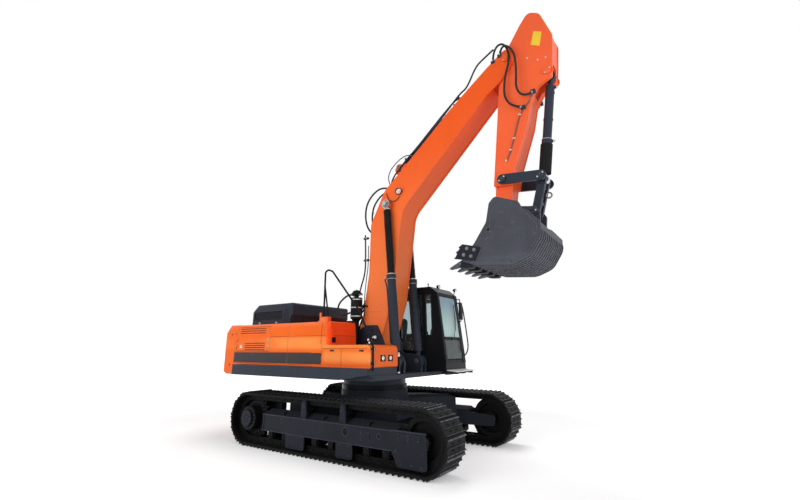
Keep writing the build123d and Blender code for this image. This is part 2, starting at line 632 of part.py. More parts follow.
def side_hinge(side, z):
    return hinge_halves(Pos(DOOR_REAR_X + PANEL_GAP / 2, side * (SIDE_Y + HINGE_OUT), z), side)


def hood_hinge(x):
    return hinge_halves(Pos(x, HOOD_LEFT_Y + HINGE_OUT, HOOD_Z0) * Rot(0, -90, 0), 1)


SLAT_PITCH = 45.0
SLAT_H = 20.0
SLATS = (
    # x0, x1, height of the lowest slat, slats
    (DOOR_REAR_X + 90, DOOR_FRONT_X - 150, DOOR_Z1 - 140, 3),
    (DOOR_REAR_X + 280, DOOR_FRONT_X - 140, DOOR_Z0 + 20, 4),
)


def side_door(side):
    """A flat service door with two groups of slats, in its opening of the house."""
    y0, y1 = sorted((side * (SIDE_Y - WALL), side * SIDE_Y))
    door = box(DOOR_REAR_X + PANEL_GAP, DOOR_FRONT_X - PANEL_GAP, y0, y1, DOOR_Z0 + PANEL_GAP, DOOR_Z1 - PANEL_GAP)
    door -= lean_wedge(DOOR_REAR_X, DOOR_FRONT_X, side)
    for x0, x1, z, count in SLATS:
        for i in range(count):
            door -= box(x0, x1, y0 - 1, y1 + 1, z + i * SLAT_PITCH, z + i * SLAT_PITCH + SLAT_H)
    for z in SIDE_HINGE_Z:
        door += side_hinge(side, z)[1]
    return door


def engine_hood():
    """The dark lid over the engine, hollow below, with its rear top cut back and its lower front set back."""
    low_x = HOOD_FRONT_X - HOOD_UNDERCUT
    outline = ((HOOD_REAR_X, HOOD_Z0, 0), (low_x, HOOD_Z0, 0), (low_x, HOOD_LIP_Z - HOOD_UNDERCUT, 0),
               (HOOD_FRONT_X, HOOD_LIP_Z, 0), (HOOD_FRONT_X, HOOD_Z1, 50), (HOOD_REAR_X + HOOD_REAR_CUT, HOOD_Z1, 60),
               (HOOD_REAR_X, HOOD_REAR_Z, 60))
    hood = side_plate(outline, HOOD_RIGHT_Y, HOOD_LEFT_Y)
    rim = [e for e in hood.edges() if e.length > 5 and HOOD_LIP_Z < e.center().Z and abs((e @ 0).Y - (e @ 1).Y) < 1]
    hood = fillet(rim, HOOD_ROUND)
    wall = HOOD_WALL
    cavity = ((HOOD_REAR_X + wall, HOOD_Z0 - 1, 0), (low_x - wall, HOOD_Z0 - 1, 0), (low_x - wall, HOOD_Z1 - wall, 0),
              (HOOD_REAR_X + HOOD_REAR_CUT + 10, HOOD_Z1 - wall, 0), (HOOD_REAR_X + wall, HOOD_REAR_Z - 10, 0))
    hood -= side_plate(cavity, HOOD_RIGHT_Y + wall, HOOD_LEFT_Y - wall)
    x0, x1, z0, z1, depth = HOOD_RECESS
    hood -= side_plate(window(x0, x1, z0, z1, 20), HOOD_RIGHT_Y - 1, HOOD_RIGHT_Y + depth)
    for x in HOOD_HINGE_X:
        hood += hood_hinge(x)[1]
    return hood


def engine_block():
    return box(ENGINE_REAR_X, ENGINE_FRONT_X, -ENGINE_HALF_W, ENGINE_HALF_W, DECK_Z1 + SEAT, ENGINE_TOP_Z)


def tank_block():
    """Fuel and oil tanks over the rear of the tool box, with a rounded front corner and the rail's pad."""
    rear_x = HOUSE_FRONT_X + PANEL_GAP
    tank = plan_plate(((rear_x, -SIDE_Y, 0), (TANK_FRONT_X, -SIDE_Y, TANK_CORNER_R),
                       (TANK_FRONT_X, -TANK_IN_Y, 0), (rear_x, -TANK_IN_Y, 0)), TOOL_Z1 + SEAT, HOUSE_TOP_Z)
    tank -= lean_wedge(rear_x - 1, TANK_FRONT_X + 1, -1)
    tank -= side_plate([(TANK_FRONT_X + out, z, r) for out, z, r in LEAN_ROWS], -SIDE_Y - 1, -TANK_IN_Y + 1)
    tank += box(rear_x, TOOL_REAR_X - PANEL_GAP, -SIDE_Y, -TANK_IN_Y, DECK_Z1 + SEAT, TOOL_Z1 + 20)
    pad_x0 = RAIL_PATH[0][0] - 60
    pad_x1 = RAIL_STRUT[1][0] + 10
    return tank + box(pad_x0, pad_x1, -SIDE_Y + 2, -SIDE_Y + 90, HOUSE_TOP_Z - TOP_ROUND, RAIL_PAD_Z)


def tool_box():
    """The low box under and in front of the tanks, with a rounded nose."""
    outline = ((TOOL_REAR_X, HOUSE_Z0, 0), (TOOL_FRONT_X, HOUSE_Z0, 20), (TOOL_FRONT_X, TOOL_Z1, TOOL_NOSE_R),
               (TOOL_REAR_X, TOOL_Z1, 0))
    return side_plate(outline, -SIDE_Y, -TOOL_IN_Y)


def catwalks():
    """The step bars along both sides of the deck, lower under the cab."""
    right = ((WALK_REAR_X, WALK_Z0, 0), (WALK_STEP_X, WALK_Z0, 0), (WALK_FRONT_X, WALK_Z1 - 110, 0),
             (WALK_FRONT_X, WALK_Z1, 0), (WALK_REAR_X, WALK_Z1, 0))
    step_x = CAB_REAR_X - 30
    left = ((WALK_REAR_X, WALK_Z0, 0), (CAB_NOSE_X - 60, WALK_Z0, 0), (CAB_NOSE_X - 60, CAB_FLOOR_Z - 10, 0),
            (step_x, CAB_FLOOR_Z - 10, 0), (step_x, WALK_Z1, 0), (WALK_REAR_X, WALK_Z1, 0))
    return Compound(children=[side_plate(right, -WALK_Y, -SIDE_Y - SEAT), side_plate(left, SIDE_Y + SEAT, WALK_Y)])


def handrails():
    """The access rail on the tanks: one bent tube down to the deck, with a strut and two brackets."""
    y = -RAIL_Y_PLANE
    rows = [(x, y, z) for x, z in RAIL_PATH]
    rows[0] = (rows[0][0], y, RAIL_PAD_Z + SEAT)
    rail = tube(rows, RAIL_R, (35, 60, 90, 200, 200, 40, 40))
    (x0, z0), (x1, z1) = RAIL_STRUT
    strut = bar((x0, z0), (x1, z1), RAIL_R - 3, 0, math.dist((x0, z0), (x1, z1)) - 8, y)
    parts = [rail, strut]
    for z in RAIL_BRACKET_ZS:
        parts.append(box(TOOL_FRONT_X + SEAT, RAIL_PATH[-1][0], y - 12, y + 12, z - 20, z + 20))
    return joined(parts)


def cab_profile(inset):
    """The cab's outline from the side, drawn in by a wall."""
    return ((CAB_REAR_X + inset, CAB_FLOOR_Z + inset, 0), (CAB_NOSE_X - inset, CAB_FLOOR_Z + inset, 0),
            (CAB_NOSE_X - inset, CAB_FLOOR_Z + 150, 0), (CAB_BROW_X - inset, CAB_ROOF_Z - 130, 0),
            (CAB_BROW_X - 160 - inset, CAB_ROOF_Z - inset, 0), (CAB_REAR_X + inset, CAB_ROOF_Z - inset, 0))


CAB_WINDOWS = (
    # x0, x1, z0, z1, corner radius of the side windows
    (-300, 250, CAB_GLASS_Z0, CAB_GLASS_Z1, 60),
    (330, 880, 1800, CAB_GLASS_Z1, 60),
    (960, 1110, 2120, CAB_GLASS_Z1, 40),
)


def window(x0, x1, z0, z1, r):
    return ((x0, z0, r), (x1, z0, r), (x1, z1, r), (x0, z1, r))


def front_window():
    """The windscreen's block, square to the sloping front of the cab."""
    lean = math.degrees(math.atan2(CAB_NOSE_X - CAB_BROW_X, CAB_ROOF_Z - CAB_FLOOR_Z - 280))
    mid_x = (CAB_NOSE_X + CAB_BROW_X) / 2
    mid_z = (CAB_FLOOR_Z + 150 + CAB_ROOF_Z - 130) / 2
    mid_y = (CAB_IN_Y + CAB_OUT_Y) / 2
    height = CAB_ROOF_Z - CAB_FLOOR_Z - 420
    width = CAB_OUT_Y - CAB_IN_Y - 2 * CAB_WALL - 30
    return Pos(mid_x, mid_y, mid_z) * Rot(0, -lean, 0), width, height


def screen_bar():
    """Height of the windscreen's bar from the middle of the windscreen, along its slope."""
    return SCREEN_BAR_Z - (CAB_FLOOR_Z + 150 + CAB_ROOF_Z - 130) / 2


def cab_shell():
    """The hollow cab with its window and door openings."""
    shell = side_plate(cab_profile(0), CAB_IN_Y, CAB_OUT_Y)
    shell -= side_plate(cab_profile(CAB_WALL), CAB_IN_Y + CAB_WALL, CAB_OUT_Y - CAB_WALL)
    for x0, x1, z0, z1, r in CAB_WINDOWS:
        shell -= side_plate(window(x0, x1, z0, z1, r), CAB_IN_Y - 1, CAB_IN_Y + CAB_WALL + 1)
    x0, x1, z0, z1, r = CAB_WINDOWS[0]
    shell -= side_plate(window(x0, x1, z0, z1, r), CAB_OUT_Y - CAB_WALL - 1, CAB_OUT_Y + 1)
    shell -= box(CAB_DOOR_REAR_X, CAB_DOOR_FRONT_X, CAB_OUT_Y - CAB_WALL - 1, CAB_OUT_Y + 1, CAB_DOOR_Z0, CAB_DOOR_Z1)
    shell -= box(CAB_REAR_X - 1, CAB_REAR_X + CAB_WALL + 1, CAB_IN_Y + 130, CAB_OUT_Y - 130,
                 CAB_GLASS_Z0, CAB_GLASS_Z1)
    place, width, height = front_window()
    shell -= place * Box(4 * CAB_WALL, width, height)
    shell += place * Pos(0, 0, screen_bar()) * Box(SCREEN_BAR, width + 2, SCREEN_BAR)
    for z in CAB_HINGE_Z:
        shell += cab_hinge(z)[0]
    return shell


def cab_hinge(z):
    return hinge_halves(Pos(CAB_DOOR_REAR_X + PANEL_GAP / 2, CAB_OUT_Y + HINGE_OUT, z), 1)


def cab_glass():
    """The fixed panes, each seated in its opening."""
    mid_in = CAB_IN_Y + CAB_WALL / 2
    mid_out = CAB_OUT_Y - CAB_WALL / 2
    half = GLASS_T / 2
    panes = []
    for x0, x1, z0, z1, r in CAB_WINDOWS:
        corners = window(x0 + SEAT, x1 - SEAT, z0 + SEAT, z1 - SEAT, r)
        panes.append(side_plate(corners, mid_in - half, mid_in + half))
    x0, x1, z0, z1, r = CAB_WINDOWS[0]
    panes.append(side_plate(window(x0 + SEAT, x1 - SEAT, z0 + SEAT, z1 - SEAT, r), mid_out - half, mid_out + half))
    panes.append(box(CAB_REAR_X + 20, CAB_REAR_X + 20 + GLASS_T, CAB_IN_Y + 130 + SEAT, CAB_OUT_Y - 130 - SEAT,
                     CAB_GLASS_Z0 + SEAT, CAB_GLASS_Z1 - SEAT))
    place, width, height = front_window()
    low = screen_bar() - SCREEN_BAR / 2
    high = screen_bar() + SCREEN_BAR / 2
    for z0, z1 in ((-height / 2, low), (high, height / 2)):
        panes.append(place * Pos(-5, 0, (z0 + z1) / 2) * Box(GLASS_T, width - 2 * SEAT, z1 - z0 - 2 * SEAT))
    return Compound(children=panes)


def cab_door():
    x0 = CAB_DOOR_REAR_X + PANEL_GAP
    x1 = CAB_DOOR_FRONT_X - PANEL_GAP
    door = box(x0, x1, CAB_OUT_Y - CAB_WALL, CAB_OUT_Y, CAB_DOOR_Z0 + PANEL_GAP, CAB_DOOR_Z1 - PANEL_GAP)
    pane = window(x0 + 70, x1 - 70, DOOR_GLASS_Z0, CAB_DOOR_Z1 - 80, 60)
    door -= side_plate(pane, CAB_OUT_Y - CAB_WALL - 1, CAB_OUT_Y + 1)
    for z in CAB_HINGE_Z:
        door += cab_hinge(z)[1]
    return door


def door_glass():
    x0 = CAB_DOOR_REAR_X + PANEL_GAP + 70 + SEAT
    x1 = CAB_DOOR_FRONT_X - PANEL_GAP - 70 - SEAT
    mid = CAB_OUT_Y - CAB_WALL / 2
    return side_plate(window(x0, x1, DOOR_GLASS_Z0 + SEAT, CAB_DOOR_Z1 - 80 - SEAT, 60), mid - GLASS_T / 2, mid + GLASS_T / 2)


SEAT_BLOCKS = (
    # x0, x1, half width, from and to above the cab's floor: pedestal, cushion, bar to the consoles
    (20.0, 460.0, 200.0, SEAT, 330.0),
    (0.0, 520.0, 250.0, 330.0, 450.0),
    (60.0, 120.0, 270.0, 340.0, 400.0),
)
SEAT_BACK = ((-10.0, 400.0, 0), (110.0, 400.0, 0), (0.0, 1130.0, 40), (-110.0, 1130.0, 40))
SEAT_BACK_HALF_W = 240.0
CONSOLE = (-60.0, 480.0, 265.0, 400.0, 560.0)


def operator_seat():
    """Seat, back and the two consoles on the cab floor."""
    mid = (CAB_IN_Y + CAB_OUT_Y) / 2
    floor = CAB_FLOOR_Z + CAB_WALL
    parts = [box(x0, x1, mid - w, mid + w, floor + z0, floor + z1) for x0, x1, w, z0, z1 in SEAT_BLOCKS]
    back = [(x, floor + z, r) for x, z, r in SEAT_BACK]
    parts.append(side_plate(back, mid - SEAT_BACK_HALF_W, mid + SEAT_BACK_HALF_W))
    x0, x1, in_y, out_y, height = CONSOLE
    for y0, y1 in both(in_y, out_y):
        parts.append(box(x0, x1, mid + y0, mid + y1, floor + SEAT, floor + height))
    return joined(parts)


def deck_supports():
    """The cab mounts between the deck and the cab floor."""
    return box(CAB_REAR_X + 60, CAB_FLOOR_Z - 410, CAB_IN_Y + 80, DECK_HALF_W - 60, DECK_Z1 + SEAT, CAB_FLOOR_Z - SEAT)


def air_cleaner():
    """The intake cleaner on its stack between the tanks and the boom, with a mushroom cap."""
    parts = []
    for r0, r1, z0, z1 in CLEANER_STACK:
        shape = Cylinder(r0, z1 - z0) if r0 == r1 else Cone(r0, r1, z1 - z0)
        parts.append(Pos(CLEANER_X, CLEANER_Y, (z0 + z1) / 2) * shape)
    return joined(parts)


BOOM_OUTLINE = (
    # pin that the point is measured from, along the chord, off it, corner radius
    ("foot", -190, -60, 130), ("foot", 60, -195, 150), ("foot", 961, 10, 300), ("foot", 2085, 470, 500),
    ("foot", 2760, 750, 500), ("tip", -830, 42, 300), ("tip", -480, -120, 200), ("tip", 60, -190, 170),
    ("tip", 190, -60, 130), ("tip", 190, 110, 130), ("tip", -270, 325, 200), ("tip", -1074, 645, 400),
    ("foot", 2990, 1430, 350), ("foot", 2168, 1375, 250), ("foot", 1200, 838, 400), ("foot", 400, 520, 250),
    ("foot", -150, 330, 170),
)


def boom_point(row):
    name, along, off, radius = row
    base = 0 if name == "foot" else BOOM_LENGTH
    x, z = point(FOOT, BOOM_ANGLE, base + along, off)
    return (x, z, radius)


def inset_outline(corners, inset):
    """The outline drawn in by an inset on every side."""
    face = side_face(corners)
    return offset(face, amount=-inset, kind=Kind.INTERSECTION)


def boom():
    """Two side plates over a narrower box, with a fork at the tip and a boss at the foot."""
    corners = [boom_point(row) for row in BOOM_OUTLINE]
    plane = Plane(origin=(0, BOOM_HALF_W - BOOM_PLATE_T, 0), x_dir=(1, 0, 0), z_dir=(0, -1, 0))
    core = extrude(plane * inset_outline(corners, BOOM_LIP), 2 * (BOOM_HALF_W - BOOM_PLATE_T))
    parts = [core]
    for y0, y1 in both(BOOM_HALF_W - BOOM_PLATE_T - 1, BOOM_HALF_W):
        parts.append(side_plate(corners, y0, y1))
    ear = [point(ARM_CYL_BASE, BOOM_ANGLE, a, o)
           for a, o in ((-330, -330), (-100, 70), (70, 95), (110, -60), (170, -180), (330, -370))]
    ear = [(x, z, r) for (x, z), r in zip(ear, (0, 70, 70, 30, 0, 0))]
    for y0, y1 in both(CYL_EYE_HALF_W + SIDE_PLAY, CYL_EYE_HALF_W + SIDE_PLAY + 50):
        parts.append(side_plate(ear, y0, y1))
    body = joined(parts)
    inner = BOOM_HALF_W - BOOM_FORK_T
    body -= pin_y(BOOM_TIP, BOOM_FORK_R, -inner, inner)
    body -= pin_y(FOOT, FOOT_PIN_R + FIT, -BOOM_HALF_W - 1, BOOM_HALF_W + 1)
    body -= pin_y(BOOM_TIP, TIP_PIN_R + FIT, -BOOM_HALF_W - 1, BOOM_HALF_W + 1)
    return body - pin_y(ARM_CYL_BASE, ARM_PIN_R + FIT, -BOOM_HALF_W, BOOM_HALF_W)


def boom_pins():
    reach = BOOM_HALF_W + 18
    parts = [pin_y(BOOM_TIP, TIP_PIN_R, -reach, reach), pin_y(ARM_CYL_BASE, ARM_PIN_R, -140, 140)]
    return Compound(children=parts)


STICK_OUTLINE = (
    # pin that the point is measured from, down the line of pins, off it to the front, corner radius
    ("pivot", -950, 400, 110), ("pivot", -850, 630, 200), ("pivot", -267, 886, 150), ("pivot", 585, 880, 50),
    ("pivot", 760, 610, 80), ("pivot", 1020, 493, 200), ("pivot", 1450, 440, 300), ("bucket", -824, 207, 150),
    ("bucket", -336, 162, 0), ("bucket", 130, 140, 130), ("bucket", 130, -130, 130), ("bucket", -369, -186, 100),
    ("pivot", 609, -145, 400), ("pivot", -285, 29, 0), ("pivot", -690, 237, 200),
)
STICK_HEAD_SLOT = (
    ("pivot", -1200, -400, 0), ("pivot", -1200, 640, 0), ("pivot", -900, 640, 60), ("pivot", -650, 560, 60),
    ("pivot", -330, 480, 60), ("pivot", -260, 350, 60), ("pivot", -260, -400, 0),
)
STICK_HORN_SLOT = (
    ("pivot", 300, 640, 60), ("pivot", 300, 1000, 0), ("pivot", 900, 1000, 0), ("pivot", 900, 460, 0), ("pivot", 660, 560, 60),
)
STICK_TIP_CUT = (("bucket", -506, -400, 0), ("bucket", -506, 400, 0), ("bucket", 294, 400, 0), ("bucket", 294, -400, 0))
STICK_SLOT_HALF_W = 110.0


def stick_plate(rows, y0, y1):
    return side_plate([stick_point(row) for row in rows], y0, y1)


def stick_point(row):
    name, s, t, radius = row
    base = 0 if name == "pivot" else STICK_LENGTH
    x, z = point(BOOM_TIP, STICK_ANGLE, base + s, t)
    return (x, z, radius)


def stick():
    """The stick as a welded box, open at its head and at its front horn for the two cylinders."""
    corners = [stick_point(row) for row in STICK_OUTLINE]
    half = STICK_HALF_W
    plane = Plane(origin=(0, half - STICK_PLATE_T, 0), x_dir=(1, 0, 0), z_dir=(0, -1, 0))
    body = extrude(plane * inset_outline(corners, STICK_LIP), 2 * (half - STICK_PLATE_T))
    for y0, y1 in both(half - STICK_PLATE_T - 1, half):
        body += side_plate(corners, y0, y1)
    body += pin_y(BOOM_TIP, TIP_BOSS_R, -half, half)
    body -= stick_plate(STICK_HEAD_SLOT, -STICK_SLOT_HALF_W, STICK_SLOT_HALF_W)
    body -= stick_plate(STICK_HORN_SLOT, -STICK_SLOT_HALF_W, STICK_SLOT_HALF_W)
    for y0, y1 in both(STICK_TIP_HALF_W, half + 1):
        body -= stick_plate(STICK_TIP_CUT, y0, y1)
    body -= pin_y(BOOM_TIP, TIP_PIN_R + FIT, -half - 1, half + 1)
    body -= pin_y(BUCKET_PIN, LINK_PIN_R + FIT, -half - 1, half + 1)
    body -= pin_y(SIDE_LINK_PIN, LINK_PIN_R + FIT, -half - 1, half + 1)
    body -= pin_y(BUCKET_CYL_BASE, ARM_PIN_R + FIT, -half - 1, half + 1)
    return body


def stick_pins():
    parts = [pin_y(SIDE_LINK_PIN, LINK_PIN_R, -SIDE_LINK_IN_Y - SIDE_LINK_T_Y - 15, SIDE_LINK_IN_Y + SIDE_LINK_T_Y + 15),
             pin_y(BUCKET_CYL_BASE, ARM_PIN_R, -STICK_HALF_W - 15, STICK_HALF_W + 15)]
    return Compound(children=parts)


BUCKET_SIDE = (
    # along the line of its pins, off it, corner radius
    (10, 143, 80), (-75, 12, 60), (-76, -337, 200), (-236, -721, 200), (-425, -1071, 0), (-118, -1115, 0),
    (486, -1035, 400), (765, -849, 300), (900, -503, 300), (860, -280, 60), (651, -105, 120), (528, -60, 60),
    (446, 60, 60),
)
BUCKET_SCOOP = (
    # the outer face of the bent plate from the lip round to the top, and its inner face back
    (-425, -1071, 0), (-118, -1115, 0), (486, -1035, 400), (765, -849, 300), (900, -503, 300), (860, -280, 120),
    (640, -150, 60), (-30, -150, 0), (-60, -185, 0), (620, -185, 40), (820, -305, 90), (862, -503, 265),
    (737, -825, 265), (478, -1000, 365), (-110, -1072, 0), (-425, -1050, 0),
)
BUCKET_EAR = (
    (-130, -160, 0), (-125, 60, 90), (-20, 145, 90), (150, 110, 100), (440, 115, 80), (590, 125, 80), (680, 30, 80),
    (700, -190, 0),
)
SIDE_CUTTER = ((-466, -793, 20), (-127, -800, 20), (-200, -1035, 20), (-544, -1045, 20))
TOOTH = ((-670, -1235, 0), (-640, -1195, 0), (-425, -1025, 0), (-250, -1005, 0), (-250, -1150, 0), (-430, -1150, 0))


def bucket_point(row):
    along, off, radius = row
    x, z = point(BUCKET_PIN, BUCKET_ANGLE, along, off)
    return (x, z, radius)


def bucket_plate(rows, y0, y1):
    return side_plate([bucket_point(row) for row in rows], y0, y1)


def bucket_shell():
    """A scoop of bent plate between two side plates, with the ears that carry its pins."""
    body = bucket_plate(BUCKET_SCOOP, -BUCKET_HALF_W + 1, BUCKET_HALF_W - 1)
    for y0, y1 in both(BUCKET_HALF_W - BUCKET_SIDE_T, BUCKET_HALF_W):
        body += bucket_plate(BUCKET_SIDE, y0, y1)
    for y0, y1 in both(EAR_IN_Y, EAR_IN_Y + EAR_T):
        body += bucket_plate(BUCKET_EAR, y0, y1)
    body -= pin_y(BUCKET_PIN, LINK_PIN_R + FIT, -EAR_IN_Y - EAR_T - 1, EAR_IN_Y + EAR_T + 1)
    return body - pin_y(SECOND_PIN, LINK_PIN_R + FIT, -EAR_IN_Y - EAR_T - 1, EAR_IN_Y + EAR_T + 1)


def bucket_pins():
    reach = EAR_IN_Y + EAR_T + 15
    return Compound(children=[pin_y(BUCKET_PIN, LINK_PIN_R, -reach, reach), pin_y(SECOND_PIN, LINK_PIN_R, -reach, reach)])


def bucket_teeth(shell):
    """The teeth that clasp the cutting lip and the side cutters."""
    parts = []
    reach = BUCKET_HALF_W - BUCKET_SIDE_T - 70
    for i in range(TOOTH_N):
        y = -reach + i * 2 * reach / (TOOTH_N - 1)
        parts.append(bucket_plate(TOOTH, y - 60, y + 60) - shell)
    for y0, y1 in both(BUCKET_HALF_W + SEAT, BUCKET_HALF_W + 45):
        parts.append(bucket_plate(SIDE_CUTTER, y0, y1))
    return Compound(children=parts)


def link_bar(start, end, radius, y0, y1):
    """A flat bar with two round ends, seen from the side."""
    length = math.dist(start, end)
    angle = math.degrees(math.atan2(end[1] - start[1], end[0] - start[0]))
    mid = ((start[0] + end[0]) / 2, (start[1] + end[1]) / 2)
    plane = Plane(origin=(mid[0], y1, mid[1]), x_dir=(1, 0, 0), z_dir=(0, -1, 0))
    return extrude(plane * Rot(0, 0, angle) * SlotCenterToCenter(length, 2 * radius), y1 - y0)


def side_links():
    """The two flat links from the stick to the link pin, each with its half of that pin."""
    parts = []
    for y0, y1 in both(SIDE_LINK_IN_Y, SIDE_LINK_IN_Y + SIDE_LINK_T_Y):
        link = link_bar(SIDE_LINK_PIN, LINK_PIN, SIDE_LINK_R, y0, y1)
        sign = 1 if y0 > 0 else -1
        link += pin_y(LINK_PIN, LINK_PIN_R, *sorted((sign * (H_LINK_HALF_W + SIDE_PLAY), sign * (SIDE_LINK_IN_Y + 1))))
        parts.append(link - pin_y(SIDE_LINK_PIN, LINK_PIN_R + FIT, y0 - 1, y1 + 1))
    return Compound(children=parts)


def h_link():
    """The forked link from the link pin down to the bucket's second pin."""
    inner = CYL_EYE_HALF_W + 2 * SIDE_PLAY
    body = joined(link_bar(SECOND_PIN, LINK_PIN, H_LINK_R, y0, y1) for y0, y1 in both(inner, H_LINK_HALF_W))
    lean = math.degrees(math.atan2(LINK_PIN[1] - SECOND_PIN[1], LINK_PIN[0] - SECOND_PIN[0]))
    body += pin_y(point(SECOND_PIN, lean, 230, 0), H_LINK_R - 10, -H_LINK_HALF_W, H_LINK_HALF_W)
    return body - pin_y(SECOND_PIN, LINK_PIN_R + FIT, -H_LINK_HALF_W - 1, H_LINK_HALF_W + 1)


def barrel(base, rod_pin, radius, rod_r, length, pin_r, y):
    """A cylinder barrel with its base eye and neck, bored for its rod."""
    body = pin_y(base, radius + 12, y - CYL_EYE_HALF_W, y + CYL_EYE_HALF_W)
    body += bar(base, rod_pin, NECK_R, 0, BARREL_NECK + 1, y)
    body += bar(base, rod_pin, radius, BARREL_NECK, length, y)
    body += bar(base, rod_pin, radius + 12, length - 90, length, y)
    body -= bar(base, rod_pin, rod_r + FIT, BARREL_NECK + 40, length + 1, y)
    return body - pin_y(base, pin_r + FIT, y - CYL_EYE_HALF_W - 1, y + CYL_EYE_HALF_W + 1)


def rod(base, rod_pin, radius, start, eye_r, eye_half, pin_reach, pin_r, y):
    """A piston rod with the eye and the pin that it carries."""
    length = math.dist(base, rod_pin)
    body = bar(base, rod_pin, radius, start, length - eye_r * 0.6, y)
    body += pin_y(rod_pin, eye_r, y - eye_half, y + eye_half)
    return body + pin_y(rod_pin, pin_r, y - pin_reach, y + pin_reach)


def boot(base, rod_pin, rod_r, start, eye_r, y):
    """The rubber boot from the barrel's end to the rod's eye."""
    end = math.dist(base, rod_pin) - eye_r - 10
    outer = bar(base, rod_pin, rod_r + BOOT_GAP + BOOT_T, start + SEAT, end, y)
    return outer - bar(base, rod_pin, rod_r + BOOT_GAP, start, end + 1, y)


def guard(base, rod_pin, rod_r, start, eye_r, y):
    """The stiff sleeve that the rod carries over the end of its barrel, closed at the rod's eye."""
    end = math.dist(base, rod_pin) - eye_r - GUARD_STOP
    outer_r = GUARD_IN_R + GUARD_WALL
    sleeve = bar(base, rod_pin, outer_r, start, end, y)
    sleeve -= bar(base, rod_pin, GUARD_IN_R, start - 1, end - GUARD_WALL, y)
    return sleeve - bar(base, rod_pin, rod_r + SEAT, start, end + 1, y)


def boom_cylinders(make):
    return Compound(children=[make(side * BOOM_CYL_Y) for side in (-1, 1)])


def all_nodes():
    scoop = bucket_shell()
    nodes = {
        "car_body": car_body(),
        "swing_ring": swing_ring(),
        "deck": deck(),
        "deck_pins": deck_pins(),
        "counterweight": counterweight(),
        "side_housing": side_housing(),
        "pump_door": side_door(-1),
        "radiator_door": side_door(1),
        "engine_hood": engine_hood(),
        "engine_block": engine_block(),
        "tank_block": tank_block(),
        "tool_box": tool_box(),
        "catwalks": catwalks(),
        "handrails": handrails(),
        "air_cleaner": air_cleaner(),
        "cab_mounts": deck_supports(),
        "cab_shell": cab_shell(),
        "cab_glass": cab_glass(),
        "cab_door": cab_door(),
        "door_glass": door_glass(),
        "operator_seat": operator_seat(),
        "boom": boom(),
        "boom_pins": boom_pins(),
        "stick": stick(),
        "stick_pins": stick_pins(),
        "bucket_shell": scoop,
        "bucket_pins": bucket_pins(),
        "bucket_teeth": bucket_teeth(scoop),
        "side_links": side_links(),
        "h_link": h_link(),
    }
    for name, side in (("right", -1), ("left", 1)):
        nodes["track_" + name] = track(side)
        nodes["track_frame_" + name] = track_frame(side)
        nodes["sprocket_" + name] = sprocket(side)
        nodes["idler_" + name] = idler(side)
        nodes["bottom_rollers_" + name] = bottom_rollers(side)
        nodes["carrier_rollers_" + name] = carrier_rollers(side)
    base, end = BOOM_CYL_BASE, BOOM_CYL_ROD
    eye_y = BOOM_CYL_Y - BOOM_HALF_W - SIDE_PLAY
    nodes["boom_barrels"] = boom_cylinders(
        lambda y: barrel(base, end, BOOM_CYL_R, BOOM_ROD_R, BOOM_BARREL, ARM_PIN_R, y))
    nodes["boom_rods"] = boom_cylinders(
        lambda y: rod(base, end, BOOM_ROD_R, BOOM_ROD_IN, 95, CYL_EYE_HALF_W, eye_y, ARM_PIN_R, y))
    nodes["boom_boots"] = boom_cylinders(lambda y: boot(base, end, BOOM_ROD_R, BOOM_BARREL, 95, y))
    base, end = ARM_CYL_BASE, ARM_CYL_ROD
    nodes["arm_barrel"] = barrel(base, end, ARM_CYL_R, ARM_ROD_R, ARM_BARREL, ARM_PIN_R, 0)
    nodes["arm_rod"] = rod(base, end, ARM_ROD_R, ARM_ROD_IN, 95, 80, 100, ARM_PIN_R, 0)
    nodes["arm_boot"] = boot(base, end, ARM_ROD_R, ARM_BARREL, 95, 0)
    base, end = BUCKET_CYL_BASE, LINK_PIN
    nodes["bucket_barrel"] = barrel(base, end, BUCKET_CYL_R, BUCKET_ROD_R, BUCKET_BARREL, ARM_PIN_R, 0)
    nodes["bucket_rod"] = rod(base, end, BUCKET_ROD_R, BUCKET_BARREL - BUCKET_ROD_HELD, 85, CYL_EYE_HALF_W,
                              CYL_EYE_HALF_W + SIDE_PLAY, LINK_PIN_R, 0)
    nodes["bucket_guard"] = guard(base, end, BUCKET_ROD_R, BUCKET_BARREL + BOOT_GAP, 85, 0)
    return nodes


os.makedirs("parts", exist_ok=True)
for name, shape in all_nodes().items():
    export_step(shape, f"parts/{name}.step")
    print(name, [round(v) for v in shape.bounding_box().size])
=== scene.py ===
import json
import math

import bmesh
import bpy
from bpy.props import FloatProperty, FloatVectorProperty, IntProperty, PointerProperty
from bpy.types import Operator, Panel, PropertyGroup
from mathutils import Matrix, Vector


